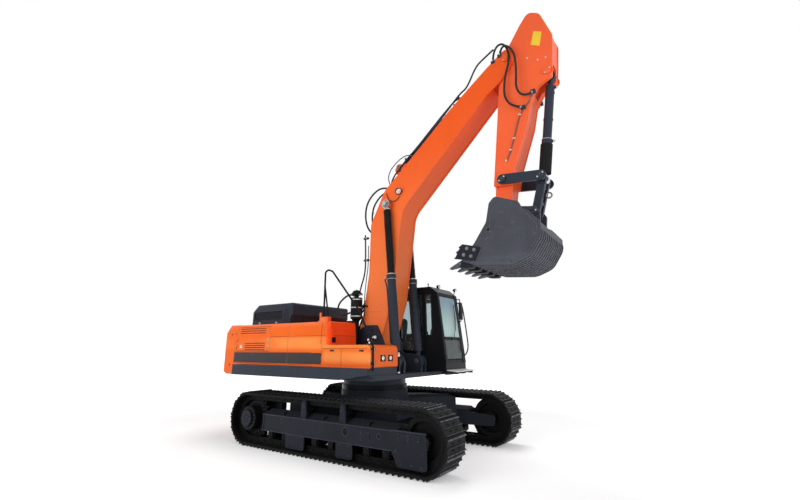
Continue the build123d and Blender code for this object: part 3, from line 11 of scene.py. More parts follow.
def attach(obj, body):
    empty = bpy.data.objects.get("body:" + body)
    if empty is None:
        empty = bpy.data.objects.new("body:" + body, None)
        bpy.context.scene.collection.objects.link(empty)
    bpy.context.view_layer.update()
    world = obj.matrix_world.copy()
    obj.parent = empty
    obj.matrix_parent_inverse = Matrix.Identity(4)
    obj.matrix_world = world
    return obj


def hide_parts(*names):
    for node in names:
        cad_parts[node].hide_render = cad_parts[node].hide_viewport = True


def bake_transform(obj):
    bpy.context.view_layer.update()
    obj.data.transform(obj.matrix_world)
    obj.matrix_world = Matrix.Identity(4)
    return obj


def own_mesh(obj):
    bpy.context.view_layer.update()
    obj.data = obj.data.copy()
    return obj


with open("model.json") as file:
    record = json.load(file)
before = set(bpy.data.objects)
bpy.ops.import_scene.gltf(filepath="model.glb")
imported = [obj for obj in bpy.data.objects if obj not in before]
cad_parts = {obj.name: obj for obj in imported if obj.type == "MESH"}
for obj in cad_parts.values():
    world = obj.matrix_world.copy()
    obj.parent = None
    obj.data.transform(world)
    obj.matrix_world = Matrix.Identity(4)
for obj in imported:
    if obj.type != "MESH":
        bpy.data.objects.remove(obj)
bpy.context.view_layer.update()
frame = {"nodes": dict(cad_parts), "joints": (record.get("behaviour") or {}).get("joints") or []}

bl_info = {
    "name": "Crawler excavator dressing",
    "version": (1, 0, 0),
    "blender": (4, 5, 0),
    "location": "View3D > Sidebar > Excavator",
    "description": "Paint, plumbing, fittings and studio for a crawler excavator",
    "category": "Object",
}

JOINTS = {joint["name"]: joint for joint in frame["joints"]}


def pin_of(name):
    """The place of a joint at rest."""
    return Vector(JOINTS[name]["pos_m"])


FOOT = pin_of("boom_hinge")
TIP = pin_of("stick_hinge")
BUCKET_PIN = pin_of("bucket_hinge")
SECOND_PIN = pin_of("h_link_hinge")
SIDE_LINK_PIN = pin_of("side_links_hinge")
BOOM_CYL_BASE = pin_of("boom_barrels_hinge")
ARM_CYL_BASE = pin_of("arm_barrel_hinge")
BUCKET_CYL_BASE = pin_of("bucket_barrel_hinge")
# pins at rest where the record has no joint
LINK_PIN = Vector((3.8611, 0.0, 4.8312))
BOOM_ROD_PIN = Vector((0.6029, 0.0, 4.8828))
ARM_ROD_PIN = Vector((3.9508, 0.0, 8.2196))

UP = (0, 0, 1)
FORWARD = (1, 0, 0)
SIDE = 1.45             # outer face of the house, off the middle as all of these
CAB_IN = 0.54           # right wall of the cab
CAB_OUT = 1.49          # left wall of the cab
CAB_MID = 1.015
BOOM_SIDE = 0.30        # outer face of the boom's plates
BOOM_BACK = ((2.99, 1.430), (5.354, 0.645))  # its upper back, along the chord and off it
STICK_SIDE = 0.245
TRACK_MID = 1.34
RAIL_Y = -1.43          # of the handrail on the right
CREASE_Z = 2.085        # height at which the side panels begin to lean in
TANK_TOP = 2.35
TUMBLER_X = 2.02        # of the sprocket and the idler, before and behind the middle
TUMBLER_Z = 0.50
PITCH_R = 0.40          # of the chain round them
SHOES = 49              # on each track
TOOTH_PITCH = 0.32      # between the bucket's teeth
STRIPS_SPAN = 1.38      # from the first wear strip to the last
FRAME_SIDE = 1.570      # outer face of a track frame
ROLLER_Z = 0.224        # axis of the bottom rollers
ROLLERS_X = (-1.40, 1.33)  # of the first and the last of the eight
PIPES_Y = (0.13, 0.22)  # of the inner and the outer pipes on the boom, off its middle
SHUT = 0.0005           # radius at which a turned shape counts as closed
THINNEST_SHARE = 0.45   # of a box's thinnest side, the most that its edges are rounded by
NUT = 1.35              # of a hose's radius, that of the hexagon at its end
FILM_IOR = 1.2          # thin panes bend light less than solid glass
CAMERA_AT = (5.543, -7.527, 1.848)
CAMERA_AHEAD = (-0.5505, 0.7839, 0.2874)
CAMERA_RIGHT = (0.8184, 0.5747, 0.0)
IMAGE_WIDTH = 800       # of the view, in pixels
FOCAL_LENGTH = 416.3    # of the view, in the same pixels
SENSOR_WIDTH = 36.0


def colour_setting(name, description, default):
    return FloatVectorProperty(name=name, description=description, subtype="COLOR", size=3, min=0, max=1,
                               default=default)


def length_setting(name, description, low, high, default):
    return FloatProperty(name=name, description=description, unit="LENGTH", min=low, max=high, default=default)


class PaintSettings(PropertyGroup):
    """Colours of the machine's finishes."""

    house_orange: colour_setting("House orange", "Paint of the house, tanks and counterweight", (0.88, 0.135, 0.008))
    arm_orange: colour_setting("Arm orange", "Paint of the boom", (0.94, 0.112, 0.012))
    stick_orange: colour_setting("Stick orange", "Paint of the stick, a little faded", (0.95, 0.135, 0.042))
    slate: colour_setting("Slate blue", "Paint of the hood, steps, cylinders and links", (0.027, 0.034, 0.050))
    frame_black: colour_setting("Frame black", "Paint of the track frames and the car body", (0.018, 0.021, 0.029))
    cab_black: colour_setting("Cab black", "Paint of the cab and the rails", (0.008, 0.009, 0.011))
    bucket_grey: colour_setting("Bucket grey", "Paint of the bucket", (0.072, 0.076, 0.095))
    track_black: colour_setting("Track black", "Steel of the tracks and rollers", (0.008, 0.008, 0.009))
    stripe: colour_setting("Side stripe", "Dark band along the house", (0.038, 0.032, 0.034))
    dust: colour_setting("Dust", "Dry dust that settles on level faces", (0.20, 0.17, 0.14))


class SizeSettings(PropertyGroup):
    """Sizes of the small parts."""

    hose: length_setting("Hose radius", "Pressure hoses at the boom tip and foot", 0.005, 0.06, 0.021)
    pipe: length_setting("Pipe radius", "Steel pipes on the boom", 0.005, 0.06, 0.019)
    bolt: length_setting("Bolt head radius", "Hexagon heads of the common bolts", 0.004, 0.05, 0.011)
    edge: length_setting("Edge rounding", "Rounding of cut plates and covers", 0.0005, 0.02, 0.004)
    wear_strips: IntProperty(name="Wear strips", description="Strips welded across the bucket's bottom",
                             min=0, max=30, default=13)


class StageSettings(PropertyGroup):
    """Light and floor."""

    key_power: FloatProperty(name="Key light", description="Large soft light on the right side", unit="POWER",
                             min=0, max=5000, default=760)
    fill_power: FloatProperty(name="Top light", description="Soft light from above", unit="POWER",
                              min=0, max=5000, default=620)
    sky: FloatProperty(name="Room light", description="Even light from all around", min=0, max=2, default=0.42)
    floor_glow: FloatProperty(name="Floor glow", description="Lifts the floor to white where no shadow falls",
                              min=0, max=1, default=0.27)


def paints():
    return bpy.context.scene.excavator_paint


def sizes():
    return bpy.context.scene.excavator_sizes


# Node trees


class Graph:
    """A node tree, with one short call for each kind of node that the finishes use."""

    def __init__(self, tree):
        self.tree = tree

    def node(self, kind, **settings):
        made = self.tree.nodes.new(kind)
        for key, value in settings.items():
            setattr(made, key, value)
        return made

    def feed(self, socket, value):
        """Puts a number, a colour or another node's output on an input."""
        if isinstance(value, bpy.types.NodeSocket):
            self.tree.links.new(value, socket)
        else:
            socket.default_value = value

    def feed_all(self, sockets, values):
        for label, value in values.items():
            self.feed(sockets[label], value)

    def math(self, operation, a, b=0.0, clamp=False):
        made = self.node("ShaderNodeMath", operation=operation, use_clamp=clamp)
        self.feed(made.inputs[0], a)
        self.feed(made.inputs[1], b)
        return made.outputs[0]

    def plus(self, a, b, clamp=False):
        return self.math("ADD", a, b, clamp)

    def minus(self, a, b):
        return self.math("SUBTRACT", a, b)

    def times(self, a, b, clamp=False):
        return self.math("MULTIPLY", a, b, clamp)

    def larger(self, a, b):
        return self.math("MAXIMUM", a, b)

    def mix(self, share, a, b):
        made = self.node("ShaderNodeMix", data_type="RGBA", blend_type="MIX", clamp_factor=True)
        self.feed(made.inputs[0], share)
        self.feed(made.inputs[6], a)
        self.feed(made.inputs[7], b)
        return made.outputs[2]

    def span(self, value, low, high, to_low=0.0, to_high=1.0):
        """A smooth step from low to high."""
        made = self.node("ShaderNodeMapRange", interpolation_type="SMOOTHSTEP")
        for socket, number in zip(made.inputs[:5], (value, low, high, to_low, to_high)):
            self.feed(socket, number)
        return made.outputs[0]

    def within(self, value, low, high, soft):
        """One between low and high, nought outside."""
        rise = self.span(value, low - soft, low + soft)
        fall = self.span(value, high - soft, high + soft, 1.0, 0.0)
        return self.times(rise, fall)

    def place(self, scale=(1.0, 1.0, 1.0)):
        point = self.node("ShaderNodeTexCoord").outputs["Object"]
        if scale == (1.0, 1.0, 1.0):
            return point
        made = self.node("ShaderNodeMapping")
        self.feed(made.inputs["Vector"], point)
        self.feed(made.inputs["Scale"], scale)
        return made.outputs[0]

    def axes(self, vector):
        made = self.node("ShaderNodeSeparateXYZ")
        self.feed(made.inputs[0], vector)
        return made.outputs

    def noise(self, vector, scale, detail, roughness=0.55):
        made = self.node("ShaderNodeTexNoise")
        self.feed(made.inputs["Vector"], vector)
        self.feed(made.inputs["Scale"], scale)
        self.feed(made.inputs["Detail"], detail)
        self.feed(made.inputs["Roughness"], roughness)
        return made.outputs[0]

    def bands(self, direction, scale):
        made = self.node("ShaderNodeTexWave", wave_type="BANDS", bands_direction=direction)
        self.feed(made.inputs["Vector"], self.place())
        self.feed(made.inputs["Scale"], scale)
        return made.outputs[1]

    def bump(self, height, strength, distance, normal=None):
        """The normal of a relief, over the normal of a rounded edge where there is one."""
        made = self.node("ShaderNodeBump")
        self.feed_all(made.inputs, {"Height": height, "Strength": strength, "Distance": distance})
        if normal is not None:
            self.feed(made.inputs["Normal"], normal)
        return made.outputs[0]

    def weather_and_edges(self, radius):
        """The two shared groups that the painted and the worn finishes begin with."""
        weather = self.node("ShaderNodeGroup", node_tree=weather_group())
        edges = self.node("ShaderNodeGroup", node_tree=edge_group())
        edges.inputs["Radius"].default_value = radius
        return weather, edges


def rgba(colour):
    return (*colour[:3], 1.0)


def shared_group(name, inputs, outputs, build):
    """A node group that is made once: rows of (name, socket type, default) in, (name, socket type) out."""
    found = bpy.data.node_groups.get(name)
    if found:
        return found
    tree = bpy.data.node_groups.new(name, "ShaderNodeTree")
    for label, kind, default in inputs:
        socket = tree.interface.new_socket(label, in_out="INPUT", socket_type=kind)
        socket.default_value = default
    for label, kind in outputs:
        tree.interface.new_socket(label, in_out="OUTPUT", socket_type=kind)
    graph = Graph(tree)
    source = graph.node("NodeGroupInput").outputs
    target = graph.node("NodeGroupOutput").inputs
    build(graph, source, target)
    return tree


def weather_group():
    """Dust on level faces, faint runs down upright ones, and slow changes of tone."""
    def build(graph, source, target):
        point = graph.place()
        tone = graph.noise(point, 0.9, 4.0)
        speck = graph.noise(point, 34.0, 5.0, 0.65)
        runs = graph.noise(graph.place((7.0, 7.0, 0.5)), 2.2, 4.0)
        up = graph.axes(graph.node("ShaderNodeNewGeometry").outputs["Normal"])[2]
        level = graph.math("POWER", graph.larger(up, 0.0), 3.0)
        patch = graph.span(graph.plus(graph.times(tone, 0.6), graph.times(speck, 0.5)), 0.40, 0.72)
        settled = graph.times(level, patch)
        washed = graph.times(graph.span(runs, 0.52, 0.78), 0.22)
        share = graph.times(graph.larger(settled, washed), source["Dust"], clamp=True)
        deeper = graph.mix(graph.span(tone, 0.30, 0.72, 0.0, source["Tone"]), source["Colour"], source["Shade"])
        graph.feed(target["Colour"], graph.mix(share, deeper, source["Dust colour"]))
        rough = graph.plus(source["Roughness"], graph.times(share, 0.5), clamp=True)
        rough = graph.plus(rough, graph.span(speck, 0.35, 0.75, -0.03, 0.06), clamp=True)
        graph.feed(target["Roughness"], rough)
        graph.feed(target["Height"], graph.plus(graph.times(share, 0.4), graph.times(speck, 0.3)))
    return shared_group(
        "surface_weather",
        (("Colour", "NodeSocketColor", (0.5, 0.5, 0.5, 1)), ("Shade", "NodeSocketColor", (0.4, 0.4, 0.4, 1)),
         ("Tone", "NodeSocketFloat", 0.5), ("Dust colour", "NodeSocketColor", (0.2, 0.17, 0.14, 1)),
         ("Dust", "NodeSocketFloat", 0.3), ("Roughness", "NodeSocketFloat", 0.4)),
        (("Colour", "NodeSocketColor"), ("Roughness", "NodeSocketFloat"), ("Height", "NodeSocketFloat")), build)


def edge_group():
    """Where an edge is, broken up as handling wears it, and the normal of a slightly rounded edge; the lighter colour
    that the finishes put on these edges is partly worn paint and partly a painted highlight where edges catch the
    light.
    """
    def build(graph, source, target):
        bevel = graph.node("ShaderNodeBevel", samples=4)
        graph.feed(bevel.inputs["Radius"], source["Radius"])
        true = graph.node("ShaderNodeNewGeometry").outputs["True Normal"]
        dot = graph.node("ShaderNodeVectorMath", operation="DOT_PRODUCT")
        graph.feed(dot.inputs[0], bevel.outputs[0])
        graph.feed(dot.inputs[1], true)
        edge = graph.span(graph.minus(1.0, dot.outputs["Value"]), 0.01, 0.16)
        broken = graph.span(graph.noise(graph.place(), 26.0, 4.0), 0.30, 0.62)
        graph.feed(target["Edge"], edge)
        graph.feed(target["Worn"], graph.times(edge, broken))
        graph.feed(target["Normal"], bevel.outputs[0])
    return shared_group(
        "edge_find", (("Radius", "NodeSocketFloat", 0.008),),
        (("Edge", "NodeSocketFloat"), ("Worn", "NodeSocketFloat"), ("Normal", "NodeSocketVector")), build)


def scratch_group():
    """Thin crossing scratches, as on steel that stones have rubbed."""
    def build(graph, source, target):
        total = None
        for scale, low in (((3.0, 40.0, 6.0), 0.60), ((26.0, 5.0, 38.0), 0.63), ((9.0, 9.0, 60.0), 0.64)):
            line = graph.span(graph.noise(graph.place(scale), source["Scale"], 3.0, 0.6), low, low + 0.05)
            total = line if total is None else graph.larger(total, line)
        patch = graph.span(graph.noise(graph.place(), 2.4, 3.0), 0.42, 0.66)
        graph.feed(target["Scratch"], graph.times(total, patch))
    return shared_group("fine_scratches", (("Scale", "NodeSocketFloat", 2.0),),
                        (("Scratch", "NodeSocketFloat"),), build)


def new_finish(name):
    """An empty material with its Principled shader."""
    material = bpy.data.materials.new(name)
    material.use_nodes = True
    tree = material.node_tree
    tree.nodes.clear()
    graph = Graph(tree)
    shader = graph.node("ShaderNodeBsdfPrincipled")
    output = graph.node("ShaderNodeOutputMaterial")
    graph.feed(output.inputs["Surface"], shader.outputs[0])
    return material, graph, shader.inputs


def painted(name, colour, shade, dust=0.3, roughness=0.35, coat=0.0, edge_wear_and_glint_colour=None, edge_share=0.4,
            edge_radius=0.008, specular=0.5, grain=0.015, mask=None, metallic=0.0, tone=0.6):
    """Sprayed paint over steel: tone, dust, rounded edges in a lighter colour that is partly worn paint and partly a
    painted highlight, and a fine grain.
    """
    material, graph, sockets = new_finish(name)
    base = mask(graph, rgba(colour)) if mask else rgba(colour)
    weather, edges = graph.weather_and_edges(edge_radius)
    shade_colour = mask(graph, rgba(shade)) if mask else rgba(shade)
    graph.feed_all(weather.inputs, {"Colour": base, "Shade": shade_colour, "Tone": tone,
                                    "Dust colour": rgba(paints().dust), "Dust": dust, "Roughness": roughness})
    out = weather.outputs["Colour"]
    # lighter edges: worn paint, and a painted highlight of the glare along them
    if edge_wear_and_glint_colour:
        share = graph.times(edges.outputs["Worn"], edge_share)
        out = graph.mix(share, out, rgba(edge_wear_and_glint_colour))
    graph.feed_all(sockets, {"Base Color": out, "Roughness": weather.outputs["Roughness"], "Coat Weight": coat,
                             "Coat Roughness": 0.12, "Specular IOR Level": specular, "Metallic": metallic})
    peel = graph.noise(graph.place(), 420.0, 2.0)
    height = graph.plus(graph.times(peel, 0.4), weather.outputs["Height"])
    graph.feed(sockets["Normal"], graph.bump(height, grain * 10, 0.0012, edges.outputs["Normal"]))
    return material


def painted_sheen_and_shade(graph, colour):
    """Painted light on the house paint: a painted sheen, paler along the middle of the side panels and on the tool
    box's side, a painted pink highlight along the brim, and painted shade, deeper red, on the tank's front.
    """
    x, y, z = graph.axes(graph.place())
    cloud = graph.span(graph.noise(graph.place((0.8, 0.8, 3.0)), 1.1, 3.0), 0.25, 0.62, 0.35, 1.0)
    outer = graph.span(graph.math("ABSOLUTE", y), SIDE - 0.030, SIDE - 0.020)
    # painted sheen: paler paint along the middle of the side panels and on the tool box's side
    middle = graph.times(graph.within(z, 1.84, 2.06, 0.05), graph.span(x, -2.1, -1.1, 0.25, 1.0))
    lower = graph.times(graph.within(z, 1.60, 1.80, 0.06), graph.span(x, -0.19, -0.10))
    share = graph.times(graph.times(outer, cloud), graph.larger(middle, lower))
    with_painted_sheen = graph.mix(graph.times(share, 0.55), colour, (1.0, 0.40, 0.10, 1))
    # painted highlight: a pink band along the brim
    brim = graph.times(graph.span(z, 2.25, 2.33), graph.span(x, -0.10, -0.16))
    with_painted_sheen = graph.mix(graph.times(brim, 0.30), with_painted_sheen, (1.0, 0.26, 0.14, 1))
    # painted shade: deeper red on the tank's front
    front = graph.times(graph.within(x, -0.08, 0.02, 0.03), graph.span(z, 1.915, 1.925))
    return graph.mix(graph.times(front, 0.8), with_painted_sheen, (0.90, 0.045, 0.004, 1))


def side_band(graph, colour):
    """The dark band with its thin lower line along the sides of the house."""
    x, y, z = graph.axes(graph.place())
    # the painted sheen, highlight and shade first, then the stripe over them
    colour = painted_sheen_and_shade(graph, colour)
    outer = graph.span(graph.math("ABSOLUTE", y), SIDE - 0.012, SIDE - 0.006)
    along = graph.within(x, -2.862, -0.19, 0.002)
    band = graph.within(z, 1.558, 1.766, 0.003)
    share = graph.times(graph.times(outer, along), band)
    return graph.mix(share, colour, rgba(paints().stripe))


def paler_towards_foot(graph, colour):
    """The boom's paint, paler towards its foot."""
    z = graph.axes(graph.place())[2]
    return graph.mix(graph.span(z, 6.6, 2.8, 0.0, 0.42), colour, (0.98, 0.34, 0.11, 1))


PAINTED = {
    # finish: its colour (a paint setting or a colour), its shade (a share of that or a colour), and the rest
    # the lighter edge colours are partly worn paint and partly a painted highlight where the edges catch the light
    "house_orange": ("house_orange", 0.86, dict(
        dust=0.10, roughness=0.34, coat=0.1, edge_wear_and_glint_colour=(1.0, 0.42, 0.24), edge_share=0.75, edge_radius=0.014,
        mask=side_band, specular=0.15)),
    # the masks of the two house paints add a painted sheen and highlight on the side panels and painted shade on the
    # tank's front
    "plain_orange": ("house_orange", 0.84, dict(
        dust=0.10, roughness=0.34, coat=0.1, edge_wear_and_glint_colour=(1.0, 0.42, 0.24), edge_share=0.7, edge_radius=0.010,
        mask=painted_sheen_and_shade, specular=0.15)),
    "arm_orange": ("arm_orange", 0.84, dict(
        dust=0.08, roughness=0.36, coat=0.08, edge_wear_and_glint_colour=(1.0, 0.34, 0.20), edge_share=0.6, edge_radius=0.010,
        mask=paler_towards_foot, specular=0.15)),
    "stick_orange": ("stick_orange", 0.86, dict(
        dust=0.10, roughness=0.38, coat=0.05, edge_wear_and_glint_colour=(1.0, 0.42, 0.30), edge_share=0.6, edge_radius=0.010,
        specular=0.12)),
    "slate_paint": ("slate", 0.7, dict(
        dust=0.12, roughness=0.42, coat=0.03, edge_wear_and_glint_colour=(0.20, 0.23, 0.29), edge_share=0.6, specular=0.14)),
    "frame_black": ("frame_black", 0.6, dict(
        dust=0.10, roughness=0.5, edge_wear_and_glint_colour=(0.16, 0.17, 0.21), edge_share=0.7, specular=0.10, grain=0.03)),
    "cab_black": ("cab_black", 0.6, dict(
        dust=0.04, roughness=0.30, coat=0.02, edge_wear_and_glint_colour=(0.10, 0.10, 0.11), edge_share=0.6, specular=0.07)),
    "boot_rubber": ((0.012, 0.012, 0.013), (0.006, 0.006, 0.007), dict(
        dust=0.25, roughness=0.72, edge_wear_and_glint_colour=(0.05, 0.05, 0.05), edge_share=0.5, specular=0.10, grain=0.05)),
    "hose_rubber": ((0.028, 0.028, 0.031), (0.014, 0.014, 0.016), dict(
        dust=0.10, roughness=0.55, specular=0.15, grain=0.04, edge_radius=0.001)),
    "sleeved_hose": ((0.10, 0.10, 0.11), (0.05, 0.05, 0.055), dict(
        dust=0.15, roughness=0.6, specular=0.35, grain=0.06, edge_radius=0.001)),
    "zinc_fitting": ((0.62, 0.60, 0.55), (0.42, 0.40, 0.36), dict(
        dust=0.08, roughness=0.32, edge_wear_and_glint_colour=(0.9, 0.88, 0.82), metallic=0.85, edge_radius=0.002)),
    "pin_steel": ((0.24, 0.24, 0.26), (0.10, 0.10, 0.11), dict(
        dust=0.15, roughness=0.42, edge_wear_and_glint_colour=(0.6, 0.6, 0.62), metallic=0.8, edge_radius=0.004)),
    "rod_chrome": ((0.50, 0.51, 0.54), (0.40, 0.41, 0.44), dict(
        dust=0.02, roughness=0.16, metallic=1.0, grain=0.002, tone=0.3)),
    "engine_iron": ((0.035, 0.036, 0.040), (0.02, 0.02, 0.022), dict(
        dust=0.3, roughness=0.6, edge_wear_and_glint_colour=(0.2, 0.2, 0.2), grain=0.08)),
    "blank_label": ((0.90, 0.62, 0.03), (0.80, 0.50, 0.02), dict(
        dust=0.1, roughness=0.4, edge_radius=0.002, grain=0.01)),
    # dark red as painted shade: in the louvres' slots and along the panel creases, with lighter red edges as a painted
    # highlight on the slats
    "louvre_red": ((0.30, 0.030, 0.012), (0.20, 0.018, 0.008), dict(
        dust=0.15, roughness=0.45, edge_wear_and_glint_colour=(0.75, 0.16, 0.05), edge_share=0.7, edge_radius=0.004,
        specular=0.15)),
    "step_alloy": ((0.72, 0.74, 0.75), (0.55, 0.57, 0.58), dict(
        dust=0.12, roughness=0.42, edge_wear_and_glint_colour=(0.9, 0.9, 0.9), edge_radius=0.003, specular=0.3, metallic=0.2)),
    "console_grey": ((0.085, 0.080, 0.072), (0.055, 0.052, 0.048), dict(
        dust=0.15, roughness=0.6, edge_wear_and_glint_colour=(0.16, 0.15, 0.14), edge_share=0.4, edge_radius=0.004,
        specular=0.2, grain=0.05)),
    "red_lens": ((0.55, 0.01, 0.008), (0.35, 0.006, 0.005), dict(
        dust=0.05, roughness=0.15, coat=0.8, edge_radius=0.003)),
}


def make_painted(name):
    colour, shade, settings = PAINTED[name]
    if isinstance(colour, str):
        colour = getattr(paints(), colour)
        shade = [c * shade for c in colour]
    return painted(name, colour, shade, **settings)


def make_screen_reflection_film():
    """Pale film on the upper windscreen, paler towards the top: a painted reflection of the bright room in the glass.
    """
    material, graph, sockets = new_finish("screen_film")
    z = graph.axes(graph.place())[2]
    cloud = graph.noise(graph.place((0.6, 0.6, 1.4)), 1.2, 3.0)
    upper = graph.span(graph.plus(z, graph.times(cloud, 0.3)), 2.35, 3.05)
    graph.feed_all(sockets, {"Base Color": graph.mix(upper, (0.66, 0.86, 0.84, 1), (0.40, 0.56, 0.66, 1)),
                             "Roughness": graph.span(cloud, 0.3, 0.7, 0.05, 0.14),
                             "Transmission Weight": 0.35, "IOR": FILM_IOR})
    return material


def make_track():
    """Rolled steel: dark between the grousers and bright on their tips."""
    material, graph, sockets = new_finish("track_iron")
    p = paints()
    x, _, z = graph.axes(graph.place())
    along = graph.larger(graph.minus(graph.math("ABSOLUTE", x), TUMBLER_X), 0.0)
    up = graph.minus(z, TUMBLER_Z)
    out = graph.math("SQRT", graph.plus(graph.times(along, along), graph.times(up, up)))
    out = graph.minus(out, PITCH_R)
    tip = graph.span(out, 0.093, 0.099)
    plate = graph.span(out, 0.050, 0.070)
    weather, edges = graph.weather_and_edges(0.006)
    wear = graph.span(graph.noise(graph.place((3.0, 26.0, 26.0)), 1.6, 4.0), 0.36, 0.74, 0.10, 0.9)
    base = graph.mix(plate, rgba([c * 0.7 for c in p.track_black]), rgba([c * 1.4 for c in p.track_black]))
    graph.feed_all(weather.inputs, {
        "Colour": base, "Shade": rgba([c * 0.5 for c in p.track_black]), "Tone": 0.7,
        "Dust colour": rgba([c * 0.3 for c in p.dust]), "Dust": 0.15, "Roughness": 0.55})
    bright = graph.times(tip, wear)
    colour = graph.mix(bright, weather.outputs["Colour"], (0.26, 0.28, 0.32, 1))
    colour = graph.mix(graph.times(edges.outputs["Worn"], 0.35), colour, (0.12, 0.125, 0.14, 1))
    graph.feed_all(sockets, {
        "Base Color": colour, "Metallic": graph.times(bright, 0.7),
        "Roughness": graph.minus(weather.outputs["Roughness"], graph.times(bright, 0.18)),
        "Specular IOR Level": 0.10,
        "Normal": graph.bump(weather.outputs["Height"], 0.5, 0.003, edges.outputs["Normal"])})
    return material


def make_bucket():
    """Dark grey paint, scratched through by use and polished on the heel and the lip."""
    material, graph, sockets = new_finish("bucket_grey")
    p = paints()
    weather, edges = graph.weather_and_edges(0.010)
    scratch = graph.node("ShaderNodeGroup", node_tree=scratch_group())
    x, _, z = graph.axes(graph.place())
    outer = graph.span(x, 4.22, 4.42)
    low = graph.span(z, 3.42, 3.30)
    polish = graph.times(graph.larger(outer, graph.times(low, 0.04)),
                         graph.span(graph.noise(graph.place((2.0, 3.0, 2.0)), 2.0, 4.0), 0.25, 0.62, 0.4, 1.0))
    graph.feed_all(weather.inputs, {
        "Colour": rgba(p.bucket_grey), "Shade": rgba([c * 0.55 for c in p.bucket_grey]), "Tone": 0.8,
        "Dust colour": rgba(p.dust), "Dust": 0.22, "Roughness": 0.5})
    colour = graph.mix(polish, weather.outputs["Colour"], (0.42, 0.47, 0.55, 1))
    colour = graph.mix(graph.times(scratch.outputs[0], 0.2), colour, (0.22, 0.22, 0.25, 1))
    colour = graph.mix(graph.times(edges.outputs["Worn"], 0.7), colour, (0.34, 0.35, 0.38, 1))
    metal = graph.larger(graph.times(polish, 0.8), graph.times(edges.outputs["Worn"], 0.5))
    rough = graph.minus(weather.outputs["Roughness"], graph.times(polish, 0.16))
    height = graph.minus(weather.outputs["Height"], graph.times(scratch.outputs[0], 0.5))
    graph.feed_all(sockets, {
        "Base Color": colour, "Metallic": metal, "Roughness": rough, "Specular IOR Level": 0.15,
        "Normal": graph.bump(height, 0.35, 0.002, edges.outputs["Normal"])})
    return material


def make_glass():
    """Grey tinted safety glass with a film of dust."""
    material, graph, sockets = new_finish("tinted_glass")
    film = graph.span(graph.noise(graph.place(), 3.0, 5.0), 0.35, 0.75, 0.02, 0.09)
    colour = graph.mix(film, (0.66, 0.74, 0.75, 1), (0.48, 0.52, 0.53, 1))
    graph.feed_all(sockets, {"Base Color": colour, "Roughness": film, "Transmission Weight": 0.94, "IOR": FILM_IOR})
    return material


def make_lamp_glass():
    """Clear ribbed lens in front of a reflector."""
    material, graph, sockets = new_finish("lamp_lens")
    ribs = graph.bands("Y", 40.0)
    colour = graph.mix(ribs, (0.75, 0.78, 0.82, 1), (0.95, 0.96, 0.98, 1))
    graph.feed_all(sockets, {"Base Color": colour, "Roughness": 0.08, "Metallic": 0.35, "Coat Weight": 1.0,
                             "Normal": graph.bump(ribs, 0.4, 0.003)})
    return material


def make_cloth():
    """Woven seat cloth."""
    material, graph, sockets = new_finish("woven_seat")
    along = graph.bands("X", 120.0)
    weave = graph.times(along, graph.bands("Y", 120.0))
    tone = graph.noise(graph.place(), 5.0, 4.0)
    colour = graph.mix(tone, (0.020, 0.021, 0.024, 1), (0.050, 0.052, 0.058, 1))
    colour = graph.mix(graph.times(weave, 0.5), colour, (0.09, 0.09, 0.10, 1))
    graph.feed_all(sockets, {"Base Color": colour, "Roughness": 0.9, "Sheen Weight": 0.4,
                             "Normal": graph.bump(weave, 0.5, 0.0015)})
    return material


OTHER_FINISHES = {
    "screen_film": make_screen_reflection_film, "track_iron": make_track, "bucket_grey": make_bucket,
    "tinted_glass": make_glass, "lamp_lens": make_lamp_glass, "woven_seat": make_cloth,
}


def finish(name):
    """The material of that name, made when it is first asked for."""
    found = bpy.data.materials.get(name)
    if found:
        return found
    return make_painted(name) if name in PAINTED else OTHER_FINISHES[name]()


NODE_FINISHES = (
    # finish, and the CAD nodes that wear it
    ("house_orange", ("side_housing", "pump_door", "radiator_door", "tank_block")),
    ("plain_orange", ("counterweight", "tool_box")),
    ("arm_orange", ("boom",)),
    ("stick_orange", ("stick",)),
    ("slate_paint", ("engine_hood", "catwalks", "deck", "boom_barrels", "arm_barrel", "bucket_barrel", "side_links",
                     "h_link")),
    ("frame_black", ("track_frame_right", "track_frame_left", "car_body")),
    ("cab_black", ("cab_shell", "cab_door", "handrails", "air_cleaner", "swing_ring")),
    ("boot_rubber", ("boom_boots", "arm_boot", "bucket_guard", "cab_mounts")),
    ("track_iron", ("track_right", "track_left", "sprocket_right", "sprocket_left", "idler_right", "idler_left",
                     "bottom_rollers_right", "bottom_rollers_left", "carrier_rollers_right",
                     "carrier_rollers_left")),
    ("bucket_grey", ("bucket_shell", "bucket_teeth")),
    ("pin_steel", ("deck_pins", "boom_pins", "stick_pins", "bucket_pins")),
    ("rod_chrome", ("boom_rods", "arm_rod", "bucket_rod")),
    ("tinted_glass", ("cab_glass", "door_glass")),
    ("engine_iron", ("engine_block",)),
    ("woven_seat", ("operator_seat",)),
)

# Mesh making


def new_meshes(count):
    return (bmesh.new() for _ in range(count))


def soften(mesh, verts, edge, segments=1):
    """Rounds every edge that meets the vertices."""
    edges = list({e for v in verts for e in v.link_edges})
    bmesh.ops.bevel(mesh, geom=edges, offset=edge, offset_type="OFFSET", affect="EDGES", segments=segments,
                    profile=0.5, material=-1)


def unit_box(mesh, place, size):
    """A sharp box of a size about the middle of a matrix; gives its vertices."""
    return bmesh.ops.create_cube(mesh, size=1.0, matrix=place @ Matrix.Diagonal((*size, 1.0)))["verts"]


def block(mesh, low, high, edge=None, segments=2, turn=None, place=None):
    """A box between two corners with rounded edges, as the size setting says where edge isn't given; turn is
    a matrix about its middle, and place is the frame that its corners are given in."""
    low, high = Vector(low), Vector(high)
    size = high - low
    middle = Matrix.Translation((low + high) / 2)
    if place:
        middle = place @ middle
    verts = unit_box(mesh, middle @ (turn or Matrix()), size)
    soften(mesh, verts, min(edge or sizes().edge, min(size) * THINNEST_SHARE), segments)


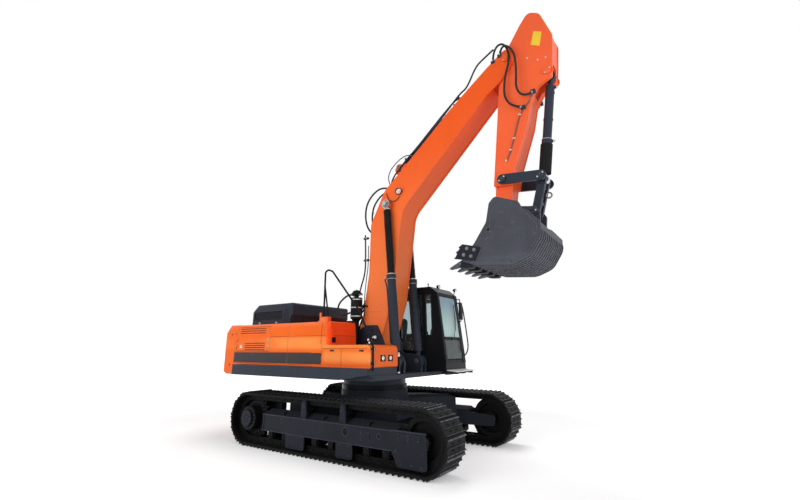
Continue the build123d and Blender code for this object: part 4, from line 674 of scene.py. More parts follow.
def side_block(mesh, side, low, high, edge=None, segments=2):
    """A block whose corners are given for the left side; side is -1 for the right one."""
    y0, y1 = sorted((side * low[1], side * high[1]))
    block(mesh, (low[0], y0, low[2]), (high[0], y1, high[2]), edge, segments)


def facing(direction):
    """The turn from Z to a direction."""
    return Vector((0, 0, 1)).rotation_difference(Vector(direction).normalized()).to_matrix().to_4x4()


def round_bar(mesh, start, end, radius, far_radius=None, sides=20):
    start, end = Vector(start), Vector(end)
    place = Matrix.Translation((start + end) / 2) @ facing(end - start)
    bmesh.ops.create_cone(mesh, cap_ends=True, segments=sides, radius1=radius,
                          radius2=radius if far_radius is None else far_radius, depth=(end - start).length,
                          matrix=place)


def turned(mesh, base, axis, rows, sides):
    """A shape turned about an axis from (distance along it, radius) rows."""
    frame_in = Matrix.Translation(Vector(base)) @ facing(axis)
    points = [mesh.verts.new(frame_in @ Vector((radius, 0.0, along))) for along, radius in rows]
    edges = [mesh.edges.new(pair) for pair in zip(points, points[1:])]
    bmesh.ops.spin(mesh, geom=points + edges, cent=Vector(base), axis=Vector(axis).normalized(), dvec=(0, 0, 0),
                   angle=2 * math.pi, steps=sides, use_merge=True, use_duplicate=False)
    if min(rows[0][1], rows[-1][1]) <= SHUT:
        bmesh.ops.remove_doubles(mesh, verts=mesh.verts, dist=0.0012)


def plate(mesh, outline, y0, y1, edge):
    """A plate in the XZ plane from (x, z) points, as thick as y0 to y1."""
    points = [mesh.verts.new((x, y0, z)) for x, z in outline]
    face = mesh.faces.new(points)
    made = bmesh.ops.extrude_face_region(mesh, geom=[face])
    moved = [v for v in made["geom"] if isinstance(v, bmesh.types.BMVert)]
    bmesh.ops.translate(mesh, verts=moved, vec=(0, y1 - y0, 0))
    soften(mesh, points + moved, edge)


def bolt(mesh, at, axis, radius=None):
    """A hexagon head on its washer, standing on a face."""
    radius = radius or sizes().bolt
    at, axis = Vector(at), Vector(axis).normalized()
    round_bar(mesh, at - axis * 0.002, at + axis * radius * 0.22, radius * 1.45, sides=14)
    round_bar(mesh, at, at + axis * radius * 0.95, radius, radius * 0.93, sides=6)


def bolt_ring(mesh, centre, axis, ring_radius, count, radius=None, start=0.0):
    turn = facing(axis)
    for i in range(count):
        angle = start + 2 * math.pi * i / count
        offset = turn @ Vector((math.cos(angle) * ring_radius, math.sin(angle) * ring_radius, 0.0))
        bolt(mesh, Vector(centre) + offset, axis, radius)


def piece(mesh, name, body, look, smooth=32.0):
    """Makes the object of a finished bmesh, gives it its finish and lets it ride on a body."""
    bmesh.ops.recalc_face_normals(mesh, faces=mesh.faces)
    data = bpy.data.meshes.new(name)
    mesh.to_mesh(data)
    mesh.free()
    data.shade_smooth()
    data.set_sharp_from_angle(angle=math.radians(smooth))
    made = bpy.data.objects.new(name, data)
    bpy.context.scene.collection.objects.link(made)
    data.materials.append(finish(look))
    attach(made, body)
    return made


def route(name, points, radius, look=None):
    """A round tube along one smooth line."""
    data = bpy.data.curves.new(name, "CURVE")
    data.dimensions = "3D"
    data.bevel_depth = radius
    data.bevel_resolution = 3
    data.resolution_u = 8
    data.use_fill_caps = radius > 0
    spline = data.splines.new("NURBS")
    spline.points.add(len(points) - 1)
    for target, point in zip(spline.points, points):
        target.co = (*point, 1.0)
    spline.order_u = 3
    spline.use_endpoint_u = True
    made = bpy.data.objects.new(name, data)
    bpy.context.scene.collection.objects.link(made)
    if look:
        data.materials.append(finish(look))
    return made


def pipe(name, points, radius, body, look, slot):
    """A bent pipe or a short clamped hose that rides on one body."""
    made = route(name, points, radius, look)
    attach(made, body)


def hose(name, points, radius, body, look="hose_rubber", stiffness="stiff"):
    """A free hose that rides on one body and ends in it."""
    made = route(name, points, radius, look)
    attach(made, body)
    line_length(read_line(points))


def read_line(points):
    """Points along the smooth line of a route."""
    guide = route("guide", points, 0.0)
    line = bpy.data.meshes.new_from_object(guide)
    found = [v.co.copy() for v in line.vertices]
    data = guide.data
    bpy.data.objects.remove(guide)
    bpy.data.curves.remove(data)
    bpy.data.meshes.remove(line)
    return found


def swept(mesh, line, radius_at, sides):
    """A tube mesh along points; radius_at gives the radius from the distance along it."""
    rings = []
    normal = None
    walked = 0.0
    for i, point in enumerate(line):
        ahead = line[min(i + 1, len(line) - 1)] - line[max(i - 1, 0)]
        ahead.normalize()
        if normal is None:
            normal = ahead.orthogonal().normalized()
        normal = (normal - ahead * normal.dot(ahead)).normalized()
        across = ahead.cross(normal)
        if i:
            walked += (point - line[i - 1]).length
        radius = radius_at(walked)
        ring = []
        for k in range(sides):
            angle = 2 * math.pi * k / sides
            ring.append(mesh.verts.new(point + (normal * math.cos(angle) + across * math.sin(angle)) * radius))
        rings.append(ring)
    for one, two in zip(rings, rings[1:]):
        for k in range(sides):
            mesh.faces.new((one[k], one[(k + 1) % sides], two[(k + 1) % sides], two[k]))
    mesh.faces.new(rings[0])
    mesh.faces.new(rings[-1])


def line_point(start, end, along, out, y):
    """A point at a distance along the line between two pins and off it, in the XZ plane."""
    ahead = (end - start).normalized()
    aside = Vector((-ahead.z, 0.0, ahead.x))
    return shifted(start + ahead * along + aside * out, y)


def boom_at(along, off, y=0.0):
    """A point of the boom: along its chord from the foot pin, and off it to the back."""
    return line_point(FOOT, TIP, along, off, y)


def stick_at(down, front, y):
    """A point of the stick: down from its pivot, and off it to the front."""
    return line_point(TIP, BUCKET_PIN, down, front, y)


def bucket_at(along, off, y=0.0):
    """A point of the bucket: along the line of its two pins, and off it."""
    return line_point(BUCKET_PIN, SECOND_PIN, along, off, y)


def line_length(points):
    return sum((b - a).length for a, b in zip(points, points[1:]))


class Stage(Operator):
    """Sets up the camera, the studio light and the pale floor"""

    bl_idname = "excavator.stage"
    bl_label = "Stage"

    def execute(self, context):
        scene = context.scene
        stage = scene.excavator_stage
        camera = bpy.data.objects.new("camera", bpy.data.cameras.new("camera"))
        scene.collection.objects.link(camera)
        ahead = Vector(CAMERA_AHEAD)
        right = Vector(CAMERA_RIGHT).normalized()
        up = right.cross(ahead).normalized()
        turn = Matrix((right, up, -ahead.normalized())).transposed()
        camera.matrix_world = Matrix.Translation(CAMERA_AT) @ turn.to_4x4()
        camera.data.sensor_width = SENSOR_WIDTH
        camera.data.lens = FOCAL_LENGTH / IMAGE_WIDTH * SENSOR_WIDTH
        camera.data.shift_x = 0.0190
        camera.data.shift_y = -0.0331
        camera.data.clip_end = 500
        scene.camera = camera
        scene.view_settings.view_transform = "Standard"
        self.light("key_light", (-1.2, -12.0, 5.4), (0.6, 0.0, 3.4), (11.0, 7.0), stage.key_power)
        self.light("top_light", (-1.0, 3.0, 13.0), (0.2, 0.0, 2.0), (7.0, 7.0), stage.fill_power)
        self.light("front_light", (12.0, -2.0, 5.0), (0.5, 0.0, 3.0), (7.0, 7.0), stage.fill_power * 0.75)
        self.world(stage.sky)
        self.floor(stage.floor_glow)
        return {"FINISHED"}

    def light(self, name, place, aim, size, power):
        data = bpy.data.lights.new(name, "AREA")
        data.shape = "RECTANGLE"
        data.size, data.size_y = size
        data.energy = power
        made = bpy.data.objects.new(name, data)
        bpy.context.scene.collection.objects.link(made)
        ahead = (Vector(aim) - Vector(place)).normalized()
        made.matrix_world = Matrix.Translation(place) @ ahead.to_track_quat("-Z", "Y").to_matrix().to_4x4()
        made.visible_camera = False
        made.visible_glossy = False

    def seen(self, graph):
        """One for rays that see the room directly, in a mirror or through glass."""
        path = graph.node("ShaderNodeLightPath").outputs
        direct = graph.larger(path["Is Camera Ray"], path["Is Transmission Ray"])
        return graph.larger(direct, path["Is Glossy Ray"])

    def world(self, sky):
        world = bpy.data.worlds.new("studio")
        bpy.context.scene.world = world
        world.use_nodes = True
        world.node_tree.nodes.clear()
        graph = Graph(world.node_tree)
        back = graph.node("ShaderNodeBackground")
        back.inputs["Color"].default_value = (1, 1, 1, 1)
        graph.feed(back.inputs["Strength"], graph.span(self.seen(graph), 0.0, 1.0, sky, 1.0))
        graph.feed(graph.node("ShaderNodeOutputWorld").inputs["Surface"], back.outputs[0])

    def floor(self, glow):
        mesh = bmesh.new()
        bmesh.ops.create_circle(mesh, cap_ends=True, segments=96, radius=120.0)
        data = bpy.data.meshes.new("floor")
        mesh.to_mesh(data)
        mesh.free()
        ground = bpy.data.objects.new("floor", data)
        bpy.context.scene.collection.objects.link(ground)
        material = bpy.data.materials.new("pale_floor")
        material.use_nodes = True
        material.node_tree.nodes.clear()
        graph = Graph(material.node_tree)
        matt = graph.node("ShaderNodeBsdfDiffuse")
        tone = graph.noise(graph.place(), 0.4, 3.0)
        graph.feed(matt.inputs["Color"], graph.mix(tone, (0.86, 0.86, 0.86, 1), (0.92, 0.92, 0.92, 1)))
        glowing = graph.node("ShaderNodeEmission")
        glowing.inputs["Color"].default_value = (1, 1, 1, 1)
        reach = graph.node("ShaderNodeVectorMath", operation="LENGTH")
        graph.feed(reach.inputs[0], graph.place())
        far = graph.span(reach.outputs["Value"], 5.5, 13.0, glow, 1.0)
        graph.feed(glowing.inputs["Strength"], graph.times(self.seen(graph), far))
        both = graph.node("ShaderNodeAddShader")
        graph.feed(both.inputs[0], matt.outputs[0])
        graph.feed(both.inputs[1], glowing.outputs[0])
        graph.feed(graph.node("ShaderNodeOutputMaterial").inputs["Surface"], both.outputs[0])
        data.materials.append(material)


class CadFinishes(Operator):
    """Paints every solid of the machine"""

    bl_idname = "excavator.cad_finishes"
    bl_label = "Solids"

    def execute(self, context):
        painted_nodes = set()
        for look, names in NODE_FINISHES:
            for name in names:
                node = frame["nodes"][name]
                node.data.materials.clear()
                node.data.materials.append(finish(look))
                painted_nodes.add(name)
        left = sorted(set(frame["nodes"]) - painted_nodes)
        if left:
            raise RuntimeError(f"no finish for {left}")
        return {"FINISHED"}


def fold_rows(start, end, count, low, high, core):
    """Rows of a folded boot that closes on its rod at both ends."""
    rows = [(start, core), (start, low + 0.002), (start + 0.03, low + 0.002)]
    pitch = (end - start - 0.06) / count
    for i in range(count):
        base = start + 0.03 + i * pitch
        rows += [(base + 0.12 * pitch, low), (base + 0.42 * pitch, high), (base + 0.62 * pitch, high)]
    return rows + [(end - 0.03, low + 0.002), (end, low + 0.002), (end, core)]


def band_rows(middle, inner, outer, half):
    """Rows of a clamp band round a bar."""
    return [(middle - half, inner), (middle - half, outer - 0.002), (middle - half + 0.002, outer),
            (middle + half - 0.002, outer), (middle + half, outer - 0.002), (middle + half, inner)]


def shifted(point, y):
    return Vector((point[0], y, point[2]))


class CylinderBoots(Operator):
    """Folded rubber boots over the rods of the boom and arm cylinders, with their clamp bands"""

    bl_idname = "excavator.cylinder_boots"
    bl_label = "Cylinder boots"

    def execute(self, context):
        rows = (
            # name, base pin, rod pin, y of each, barrel length, rod radius, folds, node, joint, kept share, bodies
            ("boom_boot_folds", BOOM_CYL_BASE, BOOM_ROD_PIN, (-0.42, 0.42), 1.72, 0.052, 30, "boom_boots",
             "boom_rods_slide", 0.288, "boom_barrels_body", "boom_rods_body"),
            ("arm_boot_folds", ARM_CYL_BASE, ARM_ROD_PIN, (0.0,), 1.90, 0.055, 38, "arm_boot",
             "arm_rod_slide", 0.345, "arm_barrel_body", "arm_rod_body"),
        )
        for name, base, pin, ys, barrel, rod_r, folds, node, joint, keep, body, rod_body in rows:
            ahead = (pin - base).normalized()
            end = (pin - base).length - 0.105
            mesh, near, far = new_meshes(3)
            for y in ys:
                foot = shifted(base, y)
                turned(mesh, foot, ahead, fold_rows(barrel + 0.001, end, folds, rod_r + 0.012, rod_r + 0.030,
                                                    rod_r + 0.0015), 28)
                turned(near, foot, ahead, band_rows(barrel + 0.016, rod_r + 0.010, rod_r + 0.020, 0.011), 28)
                turned(far, foot, ahead, band_rows(end - 0.016, rod_r + 0.010, rod_r + 0.020, 0.011), 28)
            boots = piece(mesh, name, body, "boot_rubber", smooth=60)
            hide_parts(node)
            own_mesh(boots)
            piece(near, name.replace("folds", "barrel_bands"), body, "zinc_fitting")
            piece(far, name.replace("folds", "rod_bands"), rod_body, "zinc_fitting")
        return {"FINISHED"}


class CylinderTrim(Operator):
    """Glands, bands and ports of the cylinders, and the pipes along the boom cylinders"""

    bl_idname = "excavator.cylinder_trim"
    bl_label = "Cylinder trim"

    def execute(self, context):
        rows = (
            # name, base pin, rod pin, y of each, barrel length, barrel radius, rod radius, bands, body
            ("boom_cylinder_trim", BOOM_CYL_BASE, BOOM_ROD_PIN, (-0.42, 0.42), 1.72, 0.090, 0.052,
             (0.34, 1.05), "boom_barrels_body"),
            ("arm_cylinder_trim", ARM_CYL_BASE, ARM_ROD_PIN, (0.0,), 1.90, 0.088, 0.055,
             (0.40, 1.00, 1.55), "arm_barrel_body"),
            ("bucket_cylinder_trim", BUCKET_CYL_BASE, LINK_PIN, (0.0,), 1.3997, 0.082, 0.045,
             (0.34, 0.90), "bucket_barrel_body"),
        )
        for name, base, pin, ys, barrel, radius, rod_r, bands, body in rows:
            ahead = (pin - base).normalized()
            aside = Vector((-ahead.z, 0.0, ahead.x))
            dark, bright = new_meshes(2)
            for y in ys:
                foot = shifted(base, y)
                for at in bands:
                    turned(dark, foot, ahead, band_rows(at, radius - 0.002, radius + 0.007, 0.018), 32)
                # gland, and the seam of the barrel's head
                turned(dark, foot, ahead, [(barrel - 0.003, rod_r + 0.002), (barrel - 0.003, radius + 0.004),
                                           (barrel, radius + 0.002), (barrel, rod_r + 0.002)], 32)
                turned(bright, foot, ahead, band_rows(barrel - 0.094, radius + 0.001, radius + 0.0155, 0.005), 32)
                for port in (0.235, barrel - 0.055):
                    seat = foot + ahead * port + aside * (radius - 0.01)
                    round_bar(dark, seat, seat + aside * 0.045, 0.030, 0.027, 20)
                    round_bar(bright, seat + aside * 0.045, seat + aside * 0.062, 0.024, sides=6)
                    elbow = seat + aside * 0.058
                    round_bar(bright, elbow, elbow + aside * 0.020, 0.017, sides=16)
            piece(dark, name + "_dark", body, "slate_paint")
            piece(bright, name + "_bright", body, "zinc_fitting")
            if name == "boom_cylinder_trim":
                for y in ys:
                    foot = shifted(base, y)
                    tag = "right" if y < 0 else "left"
                    line = [foot + ahead * (barrel - 0.055) + aside * (radius + 0.062),
                            foot + ahead * (barrel - 0.075) + aside * (radius + 0.085),
                            foot + ahead * (barrel - 0.18) + aside * (radius + 0.040),
                            foot + ahead * (barrel - 0.45) + aside * (radius + 0.028),
                            foot + ahead * 0.62 + aside * (radius + 0.028),
                            foot + ahead * 0.36 + aside * (radius + 0.030)]
                    pipe("boom_cylinder_pipe_" + tag, line, 0.014, body, "slate_paint", "blue_paint")
        return {"FINISHED"}


def pin_cap(plain, bright, at, side, radius):
    """A pin's end cap: a stepped disc with two bolts and a grease fitting, on one side of the machine."""
    at = Vector(at)
    out = Vector((0.0, side, 0.0))
    turned(plain, at, out, [(-0.004, radius * 1.45), (0.012, radius * 1.45), (0.016, radius * 1.38),
                            (0.016, radius * 0.90), (0.024, radius * 0.84), (0.024, SHUT)], 30)
    bolt_ring(bright, at + out * 0.016, out, radius * 1.16, 2, start=0.6)
    round_bar(bright, at + out * 0.024, at + out * 0.036, 0.007, 0.005, 10)


class PinCaps(Operator):
    """End caps, keeper bolts and grease fittings of the large pins"""

    bl_idname = "excavator.pin_caps"
    bl_label = "Pin caps"

    def execute(self, context):
        rows = (
            # name, body, finish, [(pin, y of the face, cap radius)]
            ("deck_pin_caps", "upper", "frame_black", [(FOOT, 0.383, 0.060), (BOOM_CYL_BASE, 0.529, 0.050)]),
            ("boom_pin_caps", "boom_body", "arm_orange", [(TIP, 0.318, 0.058)]),
            ("stick_pin_caps", "stick_body", "stick_orange", [(BUCKET_CYL_BASE, 0.260, 0.052)]),
            ("link_pin_caps", "stick_body", "slate_paint", [(SIDE_LINK_PIN, 0.312, 0.050)]),
            ("bucket_pin_caps", "bucket_body", "slate_paint",
             [(BUCKET_PIN, 0.247, 0.048), (SECOND_PIN, 0.247, 0.048)]),
            ("side_link_caps", "side_links_body", "slate_paint", [(LINK_PIN, 0.297, 0.050)]),
            ("boom_rod_caps", "boom_rods_body", "pin_steel", [(BOOM_ROD_PIN, 0.475, 0.055)]),
        )
        for name, body, look, pins in rows:
            plain, bright = new_meshes(2)
            for at, face, radius in pins:
                for side in (-1, 1):
                    pin_cap(plain, bright, shifted(at, side * face), side, radius)
            piece(plain, name, body, look)
            piece(bright, name + "_bolts", body, "zinc_fitting")
        return {"FINISHED"}


class BoomPlumbing(Operator):
    """Steel pipes up the boom's back with their clamps, and the pipes at its foot"""

    bl_idname = "excavator.boom_plumbing"
    bl_label = "Boom plumbing"

    def execute(self, context):
        outer = ((1.21, 6.06), (1.63, 6.40), (2.04, 6.77), (2.39, 7.11), (2.56, 7.18), (2.78, 7.61), (2.96, 7.73),
                 (3.20, 7.86))
        inner = ((0.50, 5.30), (0.52, 5.55), (0.80, 5.85), (1.23, 6.19), (1.60, 6.52), (2.00, 6.87), (2.30, 7.10),
                 (2.42, 7.04))
        for tag, y, line in (("outer_right", -PIPES_Y[1], outer), ("outer_left", PIPES_Y[1], outer),
                             ("inner_right", -PIPES_Y[0], inner), ("inner_left", PIPES_Y[0], inner)):
            pipe("boom_pipe_" + tag, [(x, y, z) for x, z in line], sizes().pipe, "boom_body", "slate_paint",
                 "blue_paint")
        bend = ((0.085, 4.32), (-0.08, 4.42), (-0.21, 4.72), (-0.19, 5.10), (0.02, 5.36), (0.30, 5.46), (0.55, 5.345))
        thin = ((0.58, 5.37), (0.50, 5.55), (0.55, 5.76), (0.74, 5.93), (0.93, 6.03), (1.12, 6.02), (1.22, 5.92))
        for tag, side in (("right", -1), ("left", 1)):
            hose("bend_hose_" + tag, [(x, side * PIPES_Y[0], z) for x, z in bend], sizes().hose, "boom_body")
            hose("thin_hose_" + tag, [(x, side * PIPES_Y[1], z) for x, z in thin], 0.012, "boom_body",
                 "sleeved_hose", "medium")
        rear = ((-0.05, 4.30), (-0.03, 3.73), (-0.05, 3.40), (-0.17, 3.10), (-0.20, 2.95))
        front = ((0.03, 4.05), (0.035, 3.60), (-0.02, 3.30), (-0.07, 2.85), (-0.06, 2.52))
        for tag, y in (("right", -0.325), ("left", 0.325)):
            pipe("foot_pipe_rear_" + tag, [(x, y, z) for x, z in rear], 0.017, "boom_body", "slate_paint",
                 "blue_paint")
            pipe("foot_pipe_front_" + tag, [(x, y * 0.955, z) for x, z in front], 0.010, "boom_body", "slate_paint",
                 "blue_paint")
        clamps, heads, pads = new_meshes(3)
        for along in (3.55, 4.55, 5.45):
            (a0, off0), (a1, off1) = BOOM_BACK
            face = off0 + (along - a0) / (a1 - a0) * (off1 - off0)
            for side in (-1, 1):
                for y in PIPES_Y:
                    foot = boom_at(along, face - 0.01, side * y)
                    top = boom_at(along, face + 0.125, side * y)
                    round_bar(pads, foot, top, 0.014, 0.012, 10)
                low_end = boom_at(along, face + 0.085, side * 0.175)
                turn = Matrix.Rotation(-math.radians(59.0 - 25.0), 4, "Y")
                block(clamps, low_end - Vector((0.030, 0.078, 0.016)), low_end + Vector((0.030, 0.078, 0.016)), 0.005,
                      turn=turn)
                for y in (-0.045, 0.045):
                    bolt(heads, low_end + Vector((-0.012, y, 0.020)), (-0.857, 0, 0.515))
        piece(pads, "pipe_posts", "boom_body", "arm_orange")
        piece(clamps, "pipe_clamps", "boom_body", "slate_paint")
        piece(heads, "pipe_clamp_bolts", "boom_body", "zinc_fitting")
        # brackets for the pipes at the foot
        tabs, tab_heads = new_meshes(2)
        for x, z in ((-0.03, 3.72), (-0.045, 4.22), (-0.06, 2.72)):
            for side in (-1, 1):
                reach = 0.345 if z > 3.0 else 0.323
                side_block(tabs, side, (x - 0.045, 0.298, z - 0.022), (x + 0.085, reach, z + 0.022))
                if z > 3.0:
                    bolt(tab_heads, (x + 0.030, side * reach, z), (0, side, 0))
        piece(tabs, "foot_pipe_tabs", "boom_body", "slate_paint")
        piece(tab_heads, "foot_pipe_tab_bolts", "boom_body", "zinc_fitting")
        return {"FINISHED"}


def crossing_hose(name, points, radius):
    """A hose across a joint between two bodies, with crimped ends, made in place at rest."""
    line = read_line(points)
    total = line_length(line)
    mesh = bmesh.new()

    def radius_at(walked):
        near = min(walked, total - walked)
        return radius * (1.22 if 0.004 < near < 0.075 else 1.0)
    swept(mesh, line, radius_at, 12)
    bmesh.ops.recalc_face_normals(mesh, faces=mesh.faces)
    data = bpy.data.meshes.new(name)
    mesh.to_mesh(data)
    mesh.free()
    data.shade_smooth()
    made = bpy.data.objects.new(name, data)
    bpy.context.scene.collection.objects.link(made)
    data.materials.append(finish("hose_rubber"))
    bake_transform(made)


# lines of the two hoses on each side of the boom's tip: x, distance from the middle, z
TIP_OUTER = (
    (3.19, 0.280, 7.51), (3.20, 0.300, 7.66), (3.31, 0.340, 7.82), (3.45, 0.360, 7.80), (3.54, 0.360, 7.60),
    (3.53, 0.360, 7.31), (3.43, 0.360, 7.05), (3.37, 0.360, 6.66), (3.42, 0.345, 6.45), (3.53, 0.310, 6.34),
    (3.68, 0.268, 6.28),
)
TIP_INNER = (
    (3.34, 0.290, 7.595), (3.38, 0.340, 7.70), (3.50, 0.400, 7.72), (3.64, 0.420, 7.52), (3.68, 0.420, 7.25),
    (3.66, 0.420, 6.90), (3.63, 0.415, 6.68), (3.68, 0.390, 6.51), (3.80, 0.330, 6.47), (3.90, 0.264, 6.545),
)


class TipHoses(Operator):
    """Hoses that hang from the boom's tip over to the stick"""

    bl_idname = "excavator.tip_hoses"
    bl_label = "Tip hoses"

    def execute(self, context):
        rows = (("tip_hose_outer_right", -1, TIP_OUTER), ("tip_hose_inner_right", -1, TIP_INNER),
                ("tip_hose_outer_left", 1, TIP_OUTER), ("tip_hose_inner_left", 1, TIP_INNER))
        ends, blocks_a, blocks_b, far_ends = new_meshes(4)
        for name, side, line in rows:
            points = [Vector((x, side * y, z)) for x, y, z in line]
            crossing_hose(name, points, sizes().hose)
            start, stop = points[0], points[-1]
            on = (points[1] - start).normalized()
            round_bar(ends, start - on * 0.01, start + on * 0.05, sizes().hose * NUT, sides=6)
            half = Vector((0.045, 0.03, 0.045))
            block(blocks_a, start - half, start + half - on * 0.02, 0.006)
            back = (points[-2] - stop).normalized()
            round_bar(far_ends, stop - back * 0.01, stop + back * 0.05, sizes().hose * NUT, sides=6)
            half = Vector((0.04, 0.03, 0.036))
            block(blocks_b, stop - half, stop + half - back * 0.01, 0.006)
        piece(ends, "tip_hose_fittings", "boom_body", "zinc_fitting")
        piece(far_ends, "stick_hose_fittings", "stick_body", "zinc_fitting")
        piece(blocks_a, "tip_hose_blocks", "boom_body", "slate_paint")
        piece(blocks_b, "stick_hose_blocks", "stick_body", "slate_paint")
        return {"FINISHED"}


class FootHoses(Operator):
    """Hoses from the deck over the foot pin to the boom's pipes"""

    bl_idname = "excavator.foot_hoses"
    bl_label = "Foot hoses"

    def execute(self, context):
        ends, low_ends, blocks = new_meshes(3)
        for i, y in enumerate((-0.24, -0.16, -0.08, 0.08, 0.16, 0.24)):
            shift = 0.03 * (i % 2)
            line = ((-0.60, 1.395), (-0.61, 1.62), (-0.60 - shift, 1.90), (-0.53, 2.22), (-0.40, 2.50 + shift),
                    (-0.22, 2.72), (-0.035, 2.80))
            crossing_hose(f"foot_hose_{i + 1}", [(x, y, z) for x, z in line], sizes().hose)
            round_bar(ends, (-0.13, y, 2.770), (-0.055, y, 2.803), sizes().hose * NUT, sides=6)
            round_bar(low_ends, (-0.60, y, 1.378), (-0.602, y, 1.46), sizes().hose * NUT, sides=6)
        block(blocks, (-0.095, -0.285, 2.755), (-0.03, 0.285, 2.845), 0.008)
        for y in (-0.27, -0.12, 0.0, 0.12, 0.27):
            bolt(ends, (-0.095, y, 2.82), (-1, 0, 0))
        piece(ends, "foot_hose_fittings", "boom_body", "zinc_fitting")
        piece(low_ends, "deck_hose_fittings", "upper", "zinc_fitting")
        piece(blocks, "foot_hose_manifold", "boom_body", "slate_paint")
        return {"FINISHED"}


def frame_bars(mesh, low, high, width, edge=0.002):
    """Four bars round an opening; low and high are its outer corners, and the thinnest side is its depth."""
    low, high = Vector(low), Vector(high)
    deep = min(range(3), key=lambda i: high[i] - low[i])
    one, two = [i for i in range(3) if i != deep]
    for axis, other in ((one, two), (two, one)):
        trim = width if axis == one else 0.0
        for end in (0, 1):
            a, b = low.copy(), high.copy()
            if end:
                a[other] = high[other] - width
            else:
                b[other] = low[other] + width
            a[axis] += trim
            b[axis] -= trim
            block(mesh, a, b, edge, 1)


def skin(mesh, line, low, high, y0, y1):
    """A bar that follows a line in the XZ plane, from low to high outside it."""
    rows = []
    for i, point in enumerate(line):
        ahead = line[min(i + 1, len(line) - 1)] - line[max(i - 1, 0)]
        aside = Vector((ahead.z, 0.0, -ahead.x)).normalized()
        rows.append([mesh.verts.new(shifted(point + aside * out, y))
                     for out, y in ((low, y0), (high, y0 + 0.004), (high, y1 - 0.004), (low, y1))])
    for one, two in zip(rows, rows[1:]):
        for k in range(4):
            mesh.faces.new((one[k], one[(k + 1) % 4], two[(k + 1) % 4], two[k]))
    mesh.faces.new(rows[0])
    mesh.faces.new(rows[-1])


def rounded(rows, steps):
    """The line through (x, z, corner radius) rows with its corners rounded."""
    points = [Vector((x, 0.0, z)) for x, z, _ in rows]
    made = [points[0]]
    for i in range(1, len(rows) - 1):
        back = (points[i - 1] - points[i]).normalized()
        on = (points[i + 1] - points[i]).normalized()
        reach = rows[i][2] / math.tan(back.angle(on) / 2)
        a, b = points[i] + back * reach, points[i] + on * reach
        for k in range(steps + 1):
            s = k / steps
            made.append(a * (1 - s) ** 2 + points[i] * 2 * s * (1 - s) + b * s ** 2)
    return made + [points[-1]]


def loop_point(s, out):
    """The point and the direction at s along a track's pitch line, out from it."""
    straight, arc = 2 * TUMBLER_X, math.pi * PITCH_R
    s = s % (2 * straight + 2 * arc)
    if s < straight:
        return Vector((-TUMBLER_X + s, 0, TUMBLER_Z - PITCH_R - out)), Vector((1, 0, 0))
    if s < straight + arc:
        middle, a = TUMBLER_X, (s - straight) / PITCH_R - math.pi / 2
    elif s < 2 * straight + arc:
        return Vector((TUMBLER_X - s + straight + arc, 0, TUMBLER_Z + PITCH_R + out)), Vector((-1, 0, 0))
    else:
        middle, a = -TUMBLER_X, (s - 2 * straight - arc) / PITCH_R + math.pi / 2
    r = PITCH_R + out
    return Vector((middle + r * math.cos(a), 0, TUMBLER_Z + r * math.sin(a))), Vector((-math.sin(a), 0, math.cos(a)))


class TrackTrim(Operator):
    """Chain links with their pins, and the bolts of the shoes"""

    bl_idname = "excavator.track_trim"
    bl_label = "Track trim"

    def execute(self, context):
        pitch = (4 * TUMBLER_X + 2 * math.pi * PITCH_R) / SHOES
        for side, tag in ((-1, "right"), (1, "left")):
            links, pins, bolts = new_meshes(3)
            for i in range(SHOES):
                at, ahead = loop_point((i + 0.5) * pitch, 0.0)
                out = Vector((ahead.z, 0.0, -ahead.x))
                turn = Matrix((ahead, (0, 1, 0), out)).transposed().to_4x4()
                for rail in (-0.102, 0.102):
                    for half in (-1, 1):
                        low = shifted(at - out * 0.006, side * TRACK_MID + rail + half * 0.027)
                        for v in unit_box(links, Matrix.Translation(low) @ turn, (pitch * 0.80, 0.010, 0.078)):
                            if (v.co - low).dot(out) < 0:
                                v.co -= ahead * (v.co - low).dot(ahead) * 0.25
                for along in (-0.048, 0.048):
                    for y in (-0.125, -0.079, 0.079, 0.125):
                        foot = shifted(at + ahead * along + out * 0.071, side * TRACK_MID + y)
                        round_bar(bolts, foot, foot + out * 0.013, 0.013, sides=6)
                joint = loop_point(i * pitch, 0.0)[0]
                round_bar(pins, shifted(joint, side * TRACK_MID - 0.142), shifted(joint, side * TRACK_MID + 0.142),
                          0.026, sides=12)
            for mesh, name in ((links, "track_links_"), (pins, "track_pins_"), (bolts, "shoe_bolts_")):
                piece(mesh, name + tag, "undercarriage", "track_iron")
        return {"FINISHED"}


